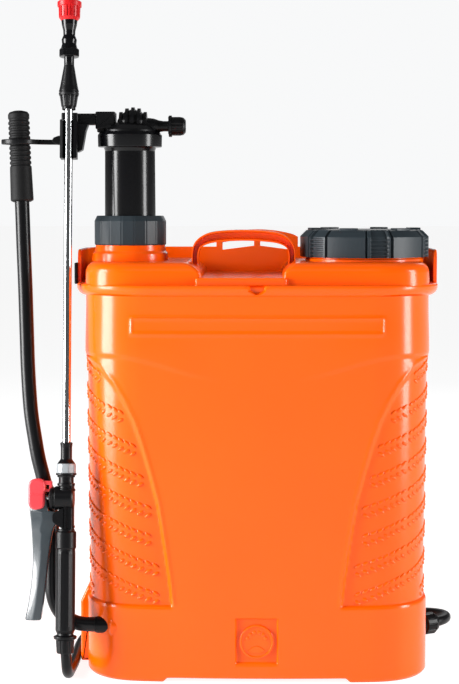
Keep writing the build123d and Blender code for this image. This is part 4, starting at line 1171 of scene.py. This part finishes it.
def pad_binding(x):
    """The tape round the pad's edge."""
    low, long = PAD_LOW[0] + 0.8, PAD_HIGH[0] - PAD_LOW[0] - 1.6
    zs = [low + long * (0.5 - 0.5 * cos(pi * k / 46)) for k in range(47)]
    right = [(x + pad_width(z) - 0.6, through_three(z, 1), z) for z in zs]
    left = [(x - pad_width(z) + 0.6, through_three(z, 1), z) for z in reversed(zs)]
    return loop_tube(right + left, 2.6, 3.9)


def ribbon(path, x, half=15, thick=1.1):
    """Flat webbing along (y, z) points, with thicker woven edges."""
    section = [(-half, 0)] + [(-half + 0.7 + u, thick * (1.25 if u < 1.5 or u > 2 * half - 3 else 1))
        for u in (0, 1.4, 2.2, half - 0.7, 2 * half - 3.6, 2 * half - 2.8, 2 * half - 1.4)] + [(half, 0)]
    section += [(a, -d) for a, d in reversed(section[1:-1])]
    rings = []
    for i, (y, z) in enumerate(path):
        before, after = path[max(i - 1, 0)], path[min(i + 1, len(path) - 1)]
        along = Vector((after[0] - before[0], after[1] - before[1])).normalized()
        rings.append([(x + a, y + along.y * d, z - along.x * d) for a, d in section])
    return skin(rings)


def stitch_box(x, y, z, size, out=1.3):
    """A box-and-cross of thread lying on the webbing."""
    half, shapes = size / 2, []
    runs = [((-half, -half), (half, -half)), ((half, -half), (half, half)), ((half, half), (-half, half)),
        ((-half, half), (-half, -half)), ((-half, -half), (half, half)), ((-half, half), (half, -half))]
    for (a, b), (c, d) in runs:
        steps = max(3, int(hypot(c - a, d - b) / 3.2))
        for k in range(steps):
            t0, t1 = (k + 0.12) / steps, (k + 0.78) / steps
            start = (x + a + (c - a) * t0, y + out, z + b + (d - b) * t0)
            end = (x + a + (c - a) * t1, y + out, z + b + (d - b) * t1)
            shapes.append(tube([start, tuple((Vector(start) + Vector(end)) / 2 + Vector((0, 0.25, 0))), end],
                0.42, 6))
    return joined(*shapes)


THREAD = plastic("stitch_thread", srgb(70, 70, 74), 0.7, 1200, 0.1)
for name, side in (("left", -1), ("right", 1)):
    middle = side * STRAP_X
    pad_mesh = remesh(build_pad(middle))
    inflate(pad_mesh, PAD_SWELL)
    sew_channels(pad_mesh, middle)
    pad_piece = add_piece(name + "_pad_cushion", pad_mesh, name + "_shoulder_pad", crease=180)
    smooth = pad_piece.modifiers.new("smooth", "SUBSURF")
    smooth.levels = smooth.render_levels = 1
    add_piece(name + "_pad_binding", pad_binding(middle), name + "_shoulder_pad", WEBBING, crease=180)

ADJUSTER = smooth_line([(116, 206), (116.6, 198), (113.4, 192.5), (116.6, 180), (117.2, 150), (116.4, 120),
    (112.4, 92), (107.6, 74), (104.6, 66), (102.2, 62.6), (100.6, 66), (101.6, 74), (106.4, 90)], 5)
TAIL = smooth_line([(113.6, 193), (117.8, 196.5), (120.4, 190), (121.6, 170), (121.2, 146), (120.2, 130)], 5)
HANGER = smooth_line([(111.6, 404), (114.6, 420), (116.6, 427), (114.2, 433.6), (110.4, 431.6), (109.6, 424),
    (107.6, 404)], 5)
webbing_parts, thread_parts, buckle_parts = [], [], []
for x in (-STRAP_X, STRAP_X):
    webbing_parts += [ribbon(ADJUSTER, x), ribbon(TAIL, x), ribbon(HANGER, x, 15)]
    fold = [(121.4, 137), (122.6, 131), (121.4, 127.6), (119.6, 131), (119.8, 137)]
    webbing_parts.append(ribbon(smooth_line(fold, 4), x, 15.2, 1))
    thread_parts += [stitch_box(x, 121.4, 137, 12, 2), stitch_box(x, 111, 86, 16, 1.8)]
    for edge in (-1, 1):
        low, high = sorted((x + edge * 16.6, x + edge * 21))
        buckle_parts.append(block((low, high), (109.5, 123.2), (186.4, 202.2), 1.6))
    for y, z, radius in ((116.2, 188.6, 2), (111.8, 193.6, 1.9), (119.4, 199.6, 2.1)):
        buckle_parts.append(moved(lathe([(-18, radius), (18, radius)], 24, soften=0.4), along_x(x, y, z)))
add_piece("webbing_straps", joined(*webbing_parts), "strap_webbing", crease=50)
add_piece("strap_stitching", joined(*thread_parts), "strap_webbing", THREAD, crease=180)
add_piece("ladder_buckles", joined(*buckle_parts), "strap_buckles")


# ---- hose ----
HOSE_LENGTH, HOSE_DIAMETER = 1.11, 0.011
HOSE_ROUTE = [(0.1822, 0.007, 0.033), (0.1943, 0.014, 0.033), (0.2037, 0.0244, 0.033),
    (0.2085, 0.0376, 0.0326), (0.208, 0.0516, 0.0316), (0.2024, 0.0655, 0.03), (0.1918, 0.0825, 0.027),
    (0.1737, 0.1012, 0.022), (0.148, 0.114, 0.015), (0.116, 0.122, 0.0095), (0.08, 0.128, 0.0064),
    (0.042, 0.13, 0.0059), (0.002, 0.127, 0.0058), (-0.038, 0.125, 0.0057), (-0.072, 0.131, 0.0058),
    (-0.097, 0.153, 0.0059), (-0.108, 0.186, 0.0058), (-0.101, 0.218, 0.0059), (-0.077, 0.242, 0.0058),
    (-0.045, 0.25, 0.0059), (-0.012, 0.242, 0.0058), (0.011, 0.218, 0.0062), (0.018, 0.188, 0.008),
    (0.013, 0.16, 0.0135), (-0.004, 0.136, 0.018), (-0.026, 0.115, 0.018), (-0.054, 0.106, 0.0125),
    (-0.086, 0.106, 0.007), (-0.119, 0.112, 0.0058), (-0.15, 0.109, 0.0059), (-0.176, 0.091, 0.0058),
    (-0.189, 0.062, 0.0059), (-0.1928, 0.028, 0.0058), (-0.1924, -0.008, 0.0059), (-0.1915, -0.042, 0.0058),
    (-0.1914, -0.068, 0.0059), (-0.1922, -0.086, 0.0058), (-0.1924, -0.098, 0.0059),
    (-0.1925, -0.1065, 0.0084), (-0.1926, -0.1132, 0.0138), (-0.1926, -0.1169, 0.022),
    (-0.1942, -0.1147, 0.0409)]


def add_hose():
    data = bpy.data.curves.new("hose_curve", "CURVE")
    data.dimensions = "3D"
    spline = data.splines.new("NURBS")
    spline.points.add(len(HOSE_ROUTE) - 1)
    for point, place in zip(spline.points, HOSE_ROUTE):
        point.co = (*place, 1)
    spline.order_u = 3
    spline.use_endpoint_u = True
    spline.resolution_u = 16
    data.bevel_depth = HOSE_DIAMETER / 2
    data.bevel_resolution = 8
    data.use_fill_caps = True
    data.materials.append(HOSE)
    hose = new_object("delivery_hose", data)
    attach(hose, "sprayer")
    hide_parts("hose")


add_hose()


# ---- floor and finish ----
FLOOR_RADIUS = 40


def add_floor():
    """White paper under the object, bright enough to hide its own edge."""
    mesh = bpy.data.meshes.new("floor")
    rim = [(FLOOR_RADIUS * cos(a), FLOOR_RADIUS * sin(a), 0) for a in around(96)]
    mesh.from_pydata(rim, [], [tuple(range(len(rim)))])
    floor = new_object("floor", mesh)
    paper = new_material("floor_paper", (0.34, 0.34, 0.34, 1), 0.9, specular=0.2)
    shader = paper.node_tree.nodes["Principled BSDF"]
    shader.inputs["Emission Color"].default_value = (1, 1, 1, 1)
    shader.inputs["Emission Strength"].default_value = 0.88
    vary_roughness(paper, link_noise(paper, 30), 0.85, 0.95)
    mesh.materials.append(paper)


add_floor()
add_camera()
add_studio()
